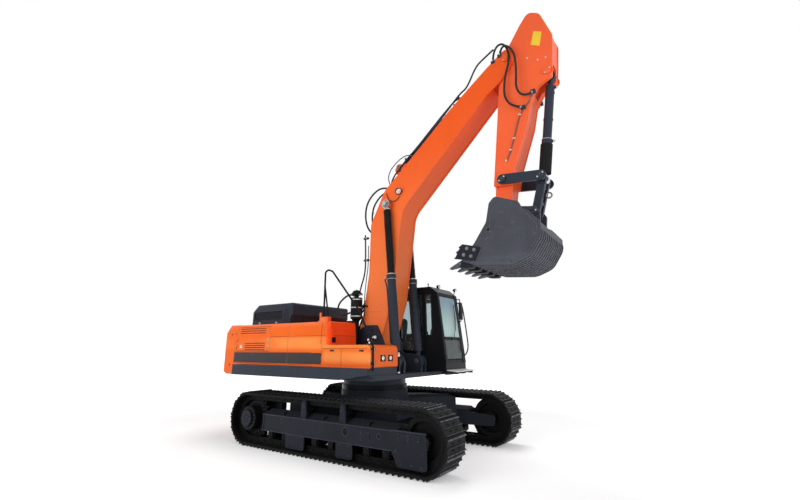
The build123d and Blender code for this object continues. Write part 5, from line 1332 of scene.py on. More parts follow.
class FrameTrim(Operator):
    """Edges, covers, caps and bolts of the track frames, the drives and the car body"""

    bl_idname = "excavator.frame_trim"
    bl_label = "Frame trim"

    def execute(self, context):
        plates, bolts, dark, rims, rollers = new_meshes(5)
        for side in (-1, 1):
            out = Vector((0, side, 0))

            def at(x, z, proud=0.0):
                return Vector((x, side * (FRAME_SIDE + proud), z))

            def slab(mesh, x0, x1, z0, z1, d0, d1, edge=None):
                side_block(mesh, side, (x0, FRAME_SIDE + d0, z0), (x1, FRAME_SIDE + d1, z1), edge)
            # lips along the frame's top and lower edges, in the lighter slate paint as a painted highlight where the
            # edges catch the light
            slab(rims, -1.585, 1.50, 0.598, 0.616, -0.030, 0.010)
            slab(rims, 1.475, 2.115, 0.606, 0.626, -0.030, 0.010)
            slab(rims, -1.585, 1.46, 0.316, 0.330, -0.020, 0.006)
            slab(plates, 1.60, 2.00, 0.48, 0.585, -0.002, 0.010)
            slab(plates, -1.565, -1.535, 0.34, 0.60, -0.002, 0.012)
            for x in (1.625, 1.80, 1.975):
                for z in (0.505, 0.560):
                    bolt(bolts, at(x, z, 0.010), out)
            # access holes of the frame, each a rim round a dark disc that is painted shade for the hole, then the cover
            # of the tensioner and the bolts of the outer guard
            for x, z, r in ((0.54, 0.50, 0.062), (1.24, 0.50, 0.030), (-1.03, 0.53, 0.026)):
                turned(rims, at(x, z), out, [(-0.002, r + 0.012), (0.005, r + 0.012), (0.005, r), (-0.002, r)], 28)
                turned(dark, at(x, z), out, [(-0.002, r), (0.0015, r), (0.0015, SHUT)], 28)
            slab(plates, 0.86, 1.06, 0.40, 0.54, -0.002, 0.008)
            for x in (0.88, 1.04):
                for z in (0.42, 0.52):
                    bolt(bolts, at(x, z, 0.008), out, 0.009)
            for x0, x1 in ((-0.90, -0.43), (0.34, 0.69)):
                for x in (x0 + 0.07, x1 - 0.07):
                    for z in (0.135, 0.285):
                        bolt(bolts, at(x, z), out, 0.014)
            for x, z in ((1.66, 0.155), (1.84, 0.155), (2.02, 0.155), (2.05, 0.33), (1.56, 0.33)):
                bolt(bolts, at(x, z), out, 0.015)
            # drive cap with its ring of bolts and its two plugs, and the rings of bolts behind it
            cap = Vector((-TUMBLER_X, side * 1.620, TUMBLER_Z))
            turned(plates, cap, out, [(-0.004, 0.146), (0.006, 0.146), (0.010, 0.138), (0.010, 0.100), (0.005, 0.096),
                                      (0.005, SHUT)], 40)
            bolt_ring(bolts, cap + out * 0.010, out, 0.120, 12, 0.009)
            for x, z in ((0.045, 0.040), (-0.050, -0.030)):
                round_bar(bolts, cap + Vector((x, 0, z)), cap + Vector((x, side * 0.016, z)), 0.013, sides=6)
            bolt_ring(bolts, Vector((-TUMBLER_X, side * 1.580, TUMBLER_Z)), out, 0.188, 18)
            bolt_ring(bolts, Vector((-TUMBLER_X, side * 1.386, TUMBLER_Z)), out, 0.285, 22, 0.013)
            # bolts of the idler's hub
            bolt_ring(bolts, Vector((TUMBLER_X, side * 1.552, TUMBLER_Z - 0.01)), out, 0.062, 4, 0.012)
            # carrier rollers: flanges, and ribs beside them
            for x in (-0.49, 0.455):
                for y in (-0.052, 0.052):
                    middle = Vector((x, side * TRACK_MID + y, 0.766))
                    turned(rollers, middle, (0, 1, 0),
                           [(-0.012, 0.066), (-0.012, 0.088), (0.012, 0.088), (0.012, 0.066)], 28)
                for k in range(4):
                    slab(rims, x - 0.040 + k * 0.022, x - 0.032 + k * 0.022, 0.79, 0.905, -0.024, -0.014, 0.001)
            # end caps of the bottom rollers, each under its two bolts
            for i in range(8):
                x = ROLLERS_X[0] + i * (ROLLERS_X[1] - ROLLERS_X[0]) / 7
                turned(rollers, (x, side * 1.505, ROLLER_Z), out,
                       [(-0.005, 0.052), (0.006, 0.052), (0.009, 0.046), (0.009, 0.020), (0.013, 0.016),
                        (0.013, SHUT)], 22)
                for dx in (-0.036, 0.036):
                    bolt(bolts, (x + dx, side * 1.511, ROLLER_Z + 0.060), out, 0.009)
            # guards on the inner side of the rollers, and the cover of the travel motor
            for x0, x1 in ((-1.52, -0.30), (-0.24, 1.30)):
                side_block(plates, side, (x0, 1.116, 0.10), (x1, 1.132, 0.36), 0.006)
            side_block(plates, side, (-2.28, 0.960, 0.36), (-1.56, 1.128, 0.800), 0.040, 3)
            for x in (-2.22, -1.92, -1.62):
                for z in (0.42, 0.74):
                    bolt(bolts, (x, side * 0.960, z), (0, -side, 0))
            # ribs of the frame's sloping top
            for x in (-1.05, -0.02, 1.0):
                side_block(plates, side, (x - 0.008, 1.36, 0.60), (x + 0.008, 1.535, 0.675), 0.002)
        bolt_ring(bolts, (0.0, 0.0, 1.052), UP, 0.684, 36, 0.006)
        piece(plates, "frame_plates", "undercarriage", "frame_black")
        piece(rims, "frame_rims", "undercarriage", "slate_paint")
        piece(dark, "frame_holes", "undercarriage", "boot_rubber")
        piece(rollers, "roller_caps", "undercarriage", "track_iron")
        piece(bolts, "frame_bolts", "undercarriage", "frame_black")
        return {"FINISHED"}


DOOR_SLATS = (
    # from x to x, height of the lowest, how many
    (-2.71, -1.85, 2.16, 3), (-2.52, -1.84, 1.81, 4),
)


class HousePanels(Operator):
    """Seams, louvres, latches and lids of the house, the tanks and the tool box"""

    bl_idname = "excavator.house_panels"
    bl_label = "House panels"

    def execute(self, context):
        seams, plain, dark, bright, lens, lips, crease_shade = new_meshes(7)
        # upright seam of the tank, over the crease and up to the brim
        swept(seams, [Vector((-0.215, -SIDE, 1.92)), Vector((-0.215, -SIDE, CREASE_Z)),
                      Vector((-0.215, -(SIDE - 0.0245), 2.325))], lambda walked: 0.0035, 6)
        for side in (-1, 1):
            for z in (1.775, 1.545):
                round_bar(seams, (-2.86, side * SIDE, z), (-0.47, side * SIDE, z), 0.003, sides=6)
            side_block(lips, side, (-2.855, SIDE - 0.004, 1.522), (-0.465, SIDE + 0.012, 1.534), 0.002)
            for name in ("pump_door", "radiator_door"):
                if JOINTS[name + "_hinge"]["pos_m"][1] * side < 0:
                    continue
                body = name + "_body"
                blades, latch, latch_dark = new_meshes(3)
                # the louvres in dark red, painted shade in their slots, with lighter red edges as a painted highlight
                # on the slats
                for x0, x1, z0, count in DOOR_SLATS:
                    for i in range(count):
                        z = z0 + i * 0.045
                        lean = 0.0 if z < CREASE_Z else 0.026 * (z - CREASE_Z) / 0.265
                        side_block(blades, side, (x0 - 0.01, SIDE - 0.030 - lean, z - 0.004),
                                   (x1 + 0.01, SIDE - 0.012 - lean, z + 0.024), 0.002)
                        for k in range(3):
                            high, y = z + 0.002 + k * 0.0065, side * (SIDE - 0.013 - lean)
                            round_bar(blades, (x0 + 0.004, y, high), (x1 - 0.004, y, high), 0.0026, sides=6)
                for z in (1.90, 2.03):
                    turned(latch, (-1.735, side * SIDE, z), (0, side, 0),
                           [(-0.001, 0.024), (0.004, 0.024), (0.007, 0.020), (0.007, 0.012), (0.003, 0.010),
                            (0.003, SHUT)], 24)
                    side_block(latch_dark, side, (-1.740, SIDE + 0.001, z - 0.009),
                               (-1.730, SIDE + 0.009, z + 0.009), 0.001)
                piece(blades, name + "_louvres", body, "louvre_red")
                piece(latch, name + "_latches", body, "zinc_fitting")
                piece(latch_dark, name + "_keys", body, "boot_rubber")
        # blank badge beside the lower louvres, then the filler, a lid and a small framed recess of the tank
        block(bright, (-2.685, -1.4535, 1.855), (-2.605, -1.4495, 1.925), 0.003)
        x, y = -0.62, -1.05
        turned(dark, (x, y, TANK_TOP), UP, [(-0.004, 0.075), (0.018, 0.075), (0.024, 0.069), (0.030, 0.060),
                                            (0.034, 0.030), (0.034, SHUT)], 36)
        for k in range(12):
            angle = k * math.pi / 6
            dx, dy = 0.074 * math.cos(angle), 0.074 * math.sin(angle)
            block(dark, (x + dx - 0.006, y + dy - 0.006, TANK_TOP), (x + dx + 0.006, y + dy + 0.006, 2.370), 0.002)
        turned(plain, (x, y, TANK_TOP), UP, [(-0.004, 0.105), (0.006, 0.105), (0.009, 0.100), (0.009, 0.070)], 36)
        turned(plain, (-0.90, -0.84, TANK_TOP), UP,
               [(-0.004, 0.060), (0.014, 0.060), (0.018, 0.052), (0.018, SHUT)], 28)
        bolt_ring(bright, (x, y, TANK_TOP + 0.008), UP, 0.092, 6, 0.007)
        frame_bars(dark, (0.000, -1.385, 1.955), (0.006, -1.275, 2.055), 0.016)
        block(dark, (-0.001, -1.375, 1.965), (0.0025, -1.285, 2.045), 0.001)
        # tool box: lid seam, hinge line, handles, lamps set into the nose
        round_bar(seams, (-0.185, -SIDE, 1.845), (0.90, -SIDE, 1.845), 0.003, sides=6)
        round_bar(seams, (0.30, -SIDE, 1.535), (0.30, -SIDE, 1.845), 0.003, sides=6)
        block(lips, (-0.188, -1.462, 1.512), (0.968, -1.446, 1.524), 0.003)
        for x in (0.02, 0.72):
            block(dark, (x, -1.456, 1.795), (x + 0.10, -1.449, 1.822), 0.002)
            block(dark, (x + 0.02, -1.464, 1.800), (x + 0.08, -1.455, 1.812), 0.002)
        for y in (-1.08, -0.84):
            frame_bars(dark, (0.972, y - 0.075, 1.625), (0.982, y + 0.075, 1.735), 0.018)
            block(dark, (0.970, y - 0.06, 1.640), (0.9765, y + 0.06, 1.720), 0.001)
            turned(bright, (0.9760, y, 1.680), FORWARD,
                   [(-0.002, 0.040), (0.006, 0.040), (0.006, 0.034), (0.001, 0.028)], 28)
            turned(lens, (0.9765, y, 1.680), FORWARD,
                   [(0.0, 0.034), (0.004, 0.030), (0.007, 0.016), (0.008, SHUT)], 28)
        # non-slip strips on the tool box and the tanks
        for k in range(7):
            block(dark, (-0.10 + k * 0.14, -1.30, 1.909), (-0.03 + k * 0.14, -0.72, 1.9135), 0.001)
        for k in range(5):
            block(dark, (-1.05 + k * 0.09, -1.33, 2.349), (-1.01 + k * 0.09, -0.95, 2.3530), 0.001)
        # orange stop by the rail
        block(plain, (-0.295, -1.440, 2.340), (-0.256, -1.405, 2.520), 0.008)
        block(plain, (-0.325, -1.436, 2.345), (-0.256, -1.409, 2.365))
        # dark red bars along the creases where the panels begin to lean in: painted shade of the fold
        for x0, x1, side in ((-1.695, -1.135, -1), (-1.135, -0.10, -1), (-1.695, -0.47, 1)):
            y = side * (SIDE - 0.001)
            round_bar(crease_shade, (x0, y, CREASE_Z), (x1, y, CREASE_Z), 0.004, sides=8)
        round_bar(crease_shade, (-0.001, -1.35, CREASE_Z), (-0.001, -0.67, CREASE_Z), 0.004, sides=8)
        piece(crease_shade, "panel_creases", "upper", "louvre_red", smooth=50)
        piece(seams, "panel_seams", "upper", "boot_rubber", smooth=50)
        piece(plain, "panel_orange", "upper", "plain_orange")
        piece(lips, "panel_lips", "upper", "plain_orange")
        piece(dark, "panel_dark", "upper", "cab_black")
        piece(bright, "panel_bright", "upper", "zinc_fitting")
        piece(lens, "nose_lamps", "upper", "lamp_lens")
        return {"FINISHED"}


class HoodTrim(Operator):
    """Grilles, ribs, latches and bolts of the engine hood"""

    bl_idname = "excavator.hood_trim"
    bl_label = "Hood trim"

    def execute(self, context):
        plain, dark, bright = new_meshes(3)
        # a framed grille on each side: from x, then the frame's and the slats' depth
        for x0, y0, y1, slat_x, slat_y0, slat_y1 in ((-2.985, -0.8965, -0.886, -2.965, -0.8885, -0.876),
                                                     (-2.97, 1.066, 1.0765, -2.955, 1.064, 1.0745)):
            frame_bars(plain, (x0, y0, 2.465), (-1.975, y1, 2.700), 0.020)
            for i in range(9):
                z = 2.492 + i * 0.0215
                block(dark, (slat_x, slat_y0, z), (-1.995, slat_y1, z + 0.010), 0.002, 1)
        for i in range(4):
            x = -1.935 + i * 0.045
            block(plain, (x, -0.900, 2.42), (x + 0.020, -0.888, 2.74), 0.005)
        for x in (-2.78, -2.20):
            block(bright, (x, -0.902, 2.400), (x + 0.055, -0.889, 2.432), 0.003)
            round_bar(bright, (x + 0.0275, -0.905, 2.395), (x + 0.0275, -0.905, 2.44), 0.005, sides=10)
        # front: dark mesh under the lip
        block(dark, (-1.7255, -0.84, 2.395), (-1.7205, 1.02, 2.525), 0.001)
        for i in range(6):
            z = 2.405 + i * 0.020
            block(plain, (-1.7225, -0.84, z), (-1.7165, 1.02, z + 0.006), 0.001, 1)
        for i in range(15):
            y = -0.80 + i * 0.128
            block(plain, (-1.7225, y, 2.395), (-1.7155, y + 0.006, 2.525), 0.001, 1)
        # shallow ribs and bolts on the lid
        for y in (-0.55, -0.15, 0.25, 0.65):
            block(plain, (-2.80, y, 2.846), (-1.78, y + 0.10, 2.856), 0.005)
        for x in (-2.82, -2.30, -1.75):
            for y in (-0.84, 1.02):
                bolt(bright, (x, y, 2.842), UP, 0.009)
        piece(plain, "hood_ribs", "hood_body", "slate_paint")
        piece(dark, "hood_grilles", "hood_body", "boot_rubber")
        piece(bright, "hood_latches", "hood_body", "zinc_fitting")
        return {"FINISHED"}


class DeckTrim(Operator):
    """Tread and rims of the step bars, clamps of the rail, intake cleaner and the steps at the cab"""

    bl_idname = "excavator.deck_trim"
    bl_label = "Deck trim"

    def execute(self, context):
        studs, plain, dark, bright, lamp, pale = new_meshes(6)
        for side in (-1, 1):
            front = 0.96 if side < 0 else -0.42
            count = int((front + 2.66) / 0.055)
            for i in range(count):
                for row in range(2):
                    x = -2.65 + i * 0.055 + row * 0.027
                    y = side * (1.495 + row * 0.055)
                    round_bar(studs, (x, y, 1.513), (x, y, 1.519), 0.011, 0.008, 8)
            side_block(plain, side, (-2.685, 1.590, 1.500), (front + 0.02, 1.604, 1.519), 0.003)
            side_block(plain, side, (-2.685, 1.590, 1.312), (min(front, 0.38) + 0.02, 1.604, 1.326), 0.003)
            for x in (-2.30, -1.50, -0.70, 0.10):
                if x < front:
                    for z in (1.37, 1.46):
                        bolt(plain, (x, side * 1.600, z), (0, side, 0), 0.008)
        # rail: clamps at its brackets and a lamp on its lower run
        for z in (1.60, 1.84):
            block(dark, (0.980, -1.462, z - 0.020), (1.044, -1.398, z + 0.020), 0.006)
            bolt(bright, (1.044, RAIL_Y, z), FORWARD, 0.008)
        block(dark, (0.965, -1.462, 1.930), (1.020, -1.398, 1.972), 0.006)
        round_bar(dark, (0.985, RAIL_Y, 1.99), (1.055, RAIL_Y, 2.03), 0.012, sides=10)
        head, aim = (1.040, RAIL_Y, 2.035), (1, -0.35, 0.15)
        turned(bright, head, aim, [(-0.045, 0.010), (-0.040, 0.022), (0.010, 0.026), (0.022, 0.027), (0.022, 0.020)],
               26)
        turned(lamp, head, aim, [(0.012, 0.022), (0.016, 0.018), (0.018, SHUT)], 26)
        for x, z in ((0.93, 1.995), (0.955, 1.945)):
            turned(bright, (x, -1.462, z), (0, -1, 0),
                   [(-0.004, 0.020), (0.008, 0.020), (0.012, 0.014), (0.012, SHUT)], 18)
        # couplings and pipes between the tool box and the boom cylinder
        y = -0.556
        for x in (0.905, 0.970):
            round_bar(dark, (x, y, 1.378), (x, y, 1.70), 0.015, sides=16)
            for z0, z1, radius, sides in ((1.70, 1.745, 0.025, 6), (1.745, 1.775, 0.019, 18), (1.400, 1.425, 0.025, 6)):
                round_bar(bright, (x, y, z0), (x, y, z1), radius, sides=sides)
        # bands, bracket and fins of the intake cleaner
        x, y = -0.16, -0.46
        for z in (2.50, 2.68, 2.85):
            turned(bright, (x, y, z), UP, [(-0.010, 0.123), (-0.010, 0.129), (0.010, 0.129), (0.010, 0.123)], 36)
            block(bright, (-0.185, -0.600, z - 0.012), (-0.150, -0.585, z + 0.012), 0.003)
        block(dark, (-0.26, -0.665, 2.33), (-0.08, -0.52, 2.40))
        turned(dark, (x, y, 2.43), UP, [(-0.04, 0.064), (-0.02, 0.074), (0.02, 0.110), (0.022, 0.120)], 30)
        for k in range(16):
            angle = k * math.pi / 8
            fin = Matrix.Translation((x + 0.098 * math.cos(angle), y + 0.098 * math.sin(angle), 2.968))
            unit_box(dark, fin @ Matrix.Rotation(angle + 0.5, 4, "Z"), (0.070, 0.004, 0.022))
        turned(dark, (x, y, 3.045), UP, [(-0.006, 0.070), (0.004, 0.040), (0.012, 0.016), (0.020, 0.014),
                                         (0.024, SHUT)], 24)
        hose("intake_hose", ((-0.208, -0.46, 2.93), (-0.30, -0.47, 2.985), (-0.46, -0.49, 2.93), (-0.62, -0.50, 2.80),
                             (-0.66, -0.50, 2.66), (-0.58, -0.49, 2.56), (-0.44, -0.48, 2.545), (-0.285, -0.46, 2.60)),
             0.020, "upper")
        for at, axis in (((-0.208, -0.46, 2.93), (-1, 0, 0.6)), ((-0.285, -0.46, 2.60), (-1, 0, -0.3))):
            on = Vector(axis).normalized()
            round_bar(bright, Vector(at) - on * 0.012, Vector(at) + on * 0.030, 0.026, sides=6)
        # step plate under the front of the cab, on its bar and its two struts
        tread = unit_box(pale, Matrix.Translation((1.50, 1.03, 1.410)) @ Matrix.Rotation(0.10, 4, "Y"),
                         (0.28, 0.94, 0.016))
        soften(pale, tread, 0.004)
        block(plain, (1.335, 0.60, 1.330), (1.420, 1.46, 1.395))
        for y in (0.68, 1.40):
            block(plain, (1.24, y - 0.020, 1.345), (1.60, y + 0.020, 1.390))
        # side bolts of the boom's foot brackets
        for y in (-0.364, 0.364):
            for x, z in ((0.07, 2.22), (0.20, 2.22), (0.33, 2.05), (0.02, 1.98)):
                bolt(dark, (x, y, z), (0, math.copysign(1, y), 0), 0.014)
        # valve block with its ports behind the boom's foot
        block(dark, (-1.00, -0.28, 1.379), (-0.70, 0.28, 1.60), 0.010)
        for i in range(6):
            y = -0.23 + i * 0.092
            round_bar(dark, (-0.95, y, 1.60), (-0.95, y, 1.66), 0.030, 0.026, 18)
            round_bar(bright, (-0.78, y, 1.598), (-0.78, y, 1.64), 0.020, sides=6)
        piece(pale, "cab_step_plate", "upper", "step_alloy")
        piece(studs, "tread_studs", "upper", "slate_paint")
        piece(plain, "step_rims", "upper", "slate_paint")
        piece(dark, "deck_dark", "upper", "cab_black")
        piece(bright, "deck_bright", "upper", "zinc_fitting")
        piece(lamp, "rail_lamp", "upper", "lamp_lens")
        return {"FINISHED"}


class TailTrim(Operator):
    """Lifting eyes, lamps and seams of the counterweight"""

    bl_idname = "excavator.tail_trim"
    bl_label = "Tail trim"

    def execute(self, context):
        plain, dark, red = new_meshes(3)
        for y in (-0.75, 0.75):
            turned(plain, (-3.12, y, 2.355), UP, [(-0.004, 0.085), (0.010, 0.085), (0.016, 0.078), (0.016, SHUT)], 30)
            bolt_ring(dark, (-3.12, y, 2.370), UP, 0.060, 6, 0.010)
            arch = [(-3.12 + 0.045 * math.cos(math.pi * step / 12), y, 2.371 + 0.055 * math.sin(math.pi * step / 12))
                    for step in range(13)]
            for a, b in zip(arch, arch[1:]):
                round_bar(plain, a, b, 0.013, sides=10)
            frame_bars(dark, (-3.5485, y - 0.10, 1.80), (-3.530, y + 0.10, 1.87), 0.012)
            block(red, (-3.547, y - 0.09, 1.81), (-3.500, y + 0.09, 1.86), 0.006)
        # rear grille slots, drawn as dark bars that are painted shade for the openings, and camera
        for i in range(6):
            block(dark, (-3.5605, -0.22, 1.62 + i * 0.045), (-3.540, 0.22, 1.640 + i * 0.045), 0.003)
        block(dark, (-3.42, -0.045, 2.33), (-3.33, 0.045, 2.40), 0.010)
        turned(dark, (-3.42, 0.0, 2.37), (-1, 0, 0), [(-0.004, 0.022), (0.014, 0.022), (0.014, 0.017), (0.006, 0.012),
                                                      (0.006, SHUT)], 22)
        for y in (-1.2, 1.2):
            for z in (1.50, 2.15):
                bolt(dark, (-2.99, math.copysign(1.4495, y), z), (0, y, 0), 0.012)
        piece(plain, "tail_eyes", "upper", "plain_orange")
        piece(dark, "tail_dark", "upper", "cab_black")
        piece(red, "tail_lamps", "upper", "red_lens")
        return {"FINISHED"}


class BoomTrim(Operator):
    """Weld seams, work light, brackets and label of the boom and the stick"""

    bl_idname = "excavator.boom_trim"
    bl_label = "Boom and stick trim"

    def weld(self, mesh, start, end, radius=0.0045):
        start, end = Vector(start), Vector(end)
        count = max(2, int((end - start).length / 0.09))
        line = [start.lerp(end, i / count) for i in range(count + 1)]
        swept(mesh, line, lambda walked: radius * (1.0 + 0.12 * math.sin(walked * 90.0)), 6)

    def execute(self, context):
        welds, stick_welds, dark, bright, lamp, stick_bright, label = new_meshes(7)
        edges = (
            # along the chord from the foot pin, off it, of the side plates' edges
            ((0.20, -0.135), (0.93, 0.035)), ((1.06, 0.080), (2.02, 0.485)), ((2.16, 0.530), (2.72, 0.765)),
            ((2.90, 0.745), (5.50, 0.105)), ((3.20, 1.325), (5.20, 0.705)), ((2.25, 1.355), (2.85, 1.395)),
            ((1.32, 0.875), (2.05, 1.295)), ((0.48, 0.520), (1.10, 0.765)),
        )
        stick_edges = (
            # the same of the stick: down from its pivot, off it
            ((0.10, 0.820), (0.56, 0.815)), ((1.08, 0.445), (2.35, 0.185)), ((0.70, -0.110), (2.75, -0.150)),
            ((-0.72, 0.60), (-0.30, 0.82)),
        )
        for side in (-1, 1):
            y = side * BOOM_SIDE
            for a, b in edges:
                self.weld(welds, boom_at(*a, y), boom_at(*b, y))
            for (x0, z0), (x1, z1) in (((-0.06, 2.62), (0.40, 2.58)), ((-0.06, 2.49), (0.40, 2.45))):
                self.weld(welds, (x0, y, z0), (x1, y, z1), 0.0055)
            s = side * STICK_SIDE
            for a, b in stick_edges:
                self.weld(stick_welds, stick_at(*a, s), stick_at(*b, s))
            # reinforcing rings round the boom's two eyes and the stick's upper one
            for at, radius in ((FOOT, 0.155), (TIP, 0.125)):
                turned(welds, shifted(at, y * 0.999), (0, side, 0),
                       [(-0.002, radius), (0.007, radius - 0.003), (0.007, radius - 0.030), (-0.002, radius - 0.032)],
                       40)
            turned(stick_welds, shifted(BUCKET_CYL_BASE, s * 0.999), (0, side, 0),
                   [(-0.002, 0.110), (0.006, 0.107), (0.006, 0.080), (-0.002, 0.078)], 36)
            for x, z in ((3.86, 7.33), (4.05, 7.21), (4.20, 7.20)):
                bolt(stick_bright, (x, s, z), (0, side, 0), 0.013)
        # bolts at the arm cylinder's foot
        for side in (-1, 1):
            for along, off in ((2.30, 1.56), (2.55, 1.56), (2.42, 1.66)):
                bolt(bright, boom_at(along, off - 0.10, side * 0.171), (0, side, 0), 0.012)
        # work light on the boom's right side, with its bracket and its cable
        block(dark, (0.815, -0.330, 5.135), (0.905, -0.299, 5.205))
        aim = Vector((0.72, -0.25, -0.62)).normalized()
        head = Vector((0.875, -0.385, 5.155))
        round_bar(dark, (0.86, -0.325, 5.17), head, 0.014, sides=12)
        turned(dark, head, aim, [(-0.060, SHUT), (-0.058, 0.034), (-0.020, 0.062), (0.030, 0.078), (0.045, 0.080),
                                 (0.045, 0.070), (0.032, 0.066)], 32)
        turned(lamp, head, aim, [(0.034, 0.069), (0.040, 0.060), (0.047, 0.030), (0.049, SHUT)], 32)
        hose("lamp_cable", ((0.52, -0.305, 5.20), (0.545, -0.325, 5.12), (0.61, -0.335, 5.00), (0.72, -0.335, 4.945),
                            (0.82, -0.330, 4.975), (0.875, -0.310, 5.05)), 0.008, "boom_body", stiffness="medium")
        # small line down the stick's right side, with its clips
        y = -STICK_SIDE
        line = ((3.90, 6.50), (3.80, 6.36), (3.62, 6.17), (3.53, 5.93), (3.46, 5.70), (3.40, 5.55), (3.35, 5.40),
                (3.27, 5.26))
        pipe("stick_line", [(x, y - 0.018, z) for x, z in line], 0.010, "stick_body", "sleeved_hose", "rubber")
        for x, z, turn in ((3.61, 6.15, 0.45), (3.462, 5.69, 0.2), (3.375, 5.47, 0.2)):
            block(stick_bright, (x - 0.030, y - 0.032, z - 0.014), (x + 0.030, y + 0.002, z + 0.014), 0.004,
                  turn=Matrix.Rotation(turn, 4, "Y"))
        round_bar(stick_bright, (3.275, y + 0.005, 5.265), (3.275, y - 0.045, 5.265), 0.022, sides=6)
        # blank label on the stick's head
        corners = ((4.035, 7.885), (4.185, 7.800), (4.115, 7.500), (3.955, 7.600))
        plate(label, corners, y - 0.0025, y + 0.001, 0.0006)
        piece(welds, "boom_welds", "boom_body", "arm_orange", smooth=50)
        piece(stick_welds, "stick_welds", "stick_body", "stick_orange", smooth=50)
        piece(dark, "work_light", "boom_body", "cab_black")
        piece(bright, "boom_bolts", "boom_body", "pin_steel")
        piece(lamp, "work_light_lens", "boom_body", "lamp_lens")
        piece(stick_bright, "stick_clips", "stick_body", "zinc_fitting")
        piece(label, "tip_label", "stick_body", "blank_label")
        return {"FINISHED"}


class BucketTrim(Operator):
    """Wear strips, cutters, welds and tooth pins of the bucket, and the lifting eye on its link"""

    bl_idname = "excavator.bucket_trim"
    bl_label = "Bucket trim"

    def execute(self, context):
        strips, welds, dark, pins, links = new_meshes(5)
        rows = ((-0.330, -1.085, 0), (-0.118, -1.115, 0.30), (0.486, -1.035, 0.40), (0.765, -0.849, 0.30),
                (0.900, -0.503, 0.30), (0.885, -0.400, 0))
        flat = [(*bucket_at(along, off).xz, r) for along, off, r in rows]
        line = rounded(flat, 7)
        count = sizes().wear_strips
        for i in range(count):
            y = (i / max(count - 1, 1) - 0.5) * STRIPS_SPAN
            skin(strips, line, -0.006, 0.014, y - 0.016, y + 0.016)
        for side in (-1, 1):
            y = side * 0.750
            # edge band of the side plate, its diagonal seam and a ring round the drain hole, with a dark disc in the
            # ring as painted shade for the hole
            band = [bucket_at(a, o) for a, o in ((-0.420, -1.060), (-0.118, -1.100), (0.470, -1.020))]
            y0, y1 = sorted((side * 0.735, side * 0.764))
            skin(strips, band, -0.055, 0.010, y0, y1)
            swept(welds, [bucket_at(-0.030, -0.10, y), bucket_at(0.02, -0.55, y), bucket_at(-0.16, -1.02, y)],
                  lambda walked: 0.006, 6)
            swept(welds, [bucket_at(0.60, -0.14, y), bucket_at(0.80, -0.32, y), bucket_at(0.835, -0.52, y),
                          bucket_at(0.72, -0.80, y), bucket_at(0.46, -0.97, y), bucket_at(-0.10, -1.045, y)],
                  lambda walked: 0.005, 6)
            hole = Vector((3.00, y, 3.84))
            turned(welds, hole, (0, side, 0), [(-0.002, 0.052), (0.008, 0.049), (0.008, 0.036), (-0.002, 0.034)], 30)
            turned(dark, hole, (0, side, 0), [(-0.002, 0.036), (0.002, 0.035), (0.002, SHUT)], 26)
            # scalloped side cutters over the plain ones
            teeth = ((-0.560, -1.050), (-0.500, -0.960), (-0.545, -0.935), (-0.470, -0.860), (-0.505, -0.835),
                     (-0.440, -0.770), (-0.110, -0.790), (-0.185, -1.045))
            y0, y1 = sorted((side * 0.770, side * 0.801))
            plate(dark, [tuple(bucket_at(a, o).xz) for a, o in teeth], y0, y1, 0.004)
            for a, o in ((-0.20, -0.85), (-0.24, -0.97), (-0.34, -0.84), (-0.38, -0.96)):
                bolt(pins, bucket_at(a, o, side * 0.801), (0, side, 0), 0.022)
        # adapters behind the teeth, with their locking pins
        for i in range(5):
            y = -0.64 + i * TOOTH_PITCH
            outline = ((-0.475, -1.185), (-0.450, -1.020), (-0.415, -0.985), (-0.235, -0.975), (-0.165, -1.010),
                       (-0.235, -1.165), (-0.40, -1.190))
            plate(dark, [tuple(bucket_at(a, o).xz) for a, o in outline], y - 0.068, y + 0.068, 0.010)
            for half in (-1, 1):
                middle = bucket_at(-0.470, -1.115, y + half * 0.058)
                round_bar(pins, middle, middle + Vector((0, half * 0.016, 0)), 0.018, 0.015, 14)
        # lip guards between them
        guard = [bucket_at(a, o) for a, o in ((-0.455, -1.052), (-0.30, -1.088), (-0.20, -1.106))]
        for i in range(4):
            y = -0.48 + i * TOOTH_PITCH
            skin(dark, guard, -0.045, 0.012, y - 0.080, y + 0.080)
        piece(strips, "wear_strips", "bucket_body", "bucket_grey", smooth=40)
        piece(welds, "bucket_welds", "bucket_body", "bucket_grey", smooth=50)
        piece(dark, "bucket_cutters", "bucket_body", "frame_black")
        piece(pins, "tooth_pins", "bucket_body", "pin_steel")
        # lifting eye on the link between bucket and side links
        foot = LINK_PIN.lerp(SECOND_PIN, 0.42)
        ahead = (SECOND_PIN - LINK_PIN).normalized()
        aside = Vector((-ahead.z, 0.0, ahead.x))
        if aside.x < 0:
            aside.negate()
        eye = foot + aside * 0.135
        angles = [2 * math.pi * k / 20 for k in range(21)]
        ring = [eye + (ahead * math.cos(a) + aside * math.sin(a)) * 0.050 for a in angles]
        for a, b in zip(ring, ring[1:]):
            round_bar(links, a, b, 0.015, sides=10)
        piece(links, "lifting_eye", "h_link_body", "pin_steel", smooth=60)
        return {"FINISHED"}


def front_place():
    """The frame of the sloping windscreen: x out of it, z up along it."""
    return Matrix.Translation((1.33, CAB_MID, 2.285)) @ Matrix.Rotation(-math.atan2(0.16, 1.47), 4, "Y")


def sloped(mesh, low, high, edge=0.003):
    """A block given in the frame of the windscreen."""
    block(mesh, low, high, edge, 1, place=front_place())


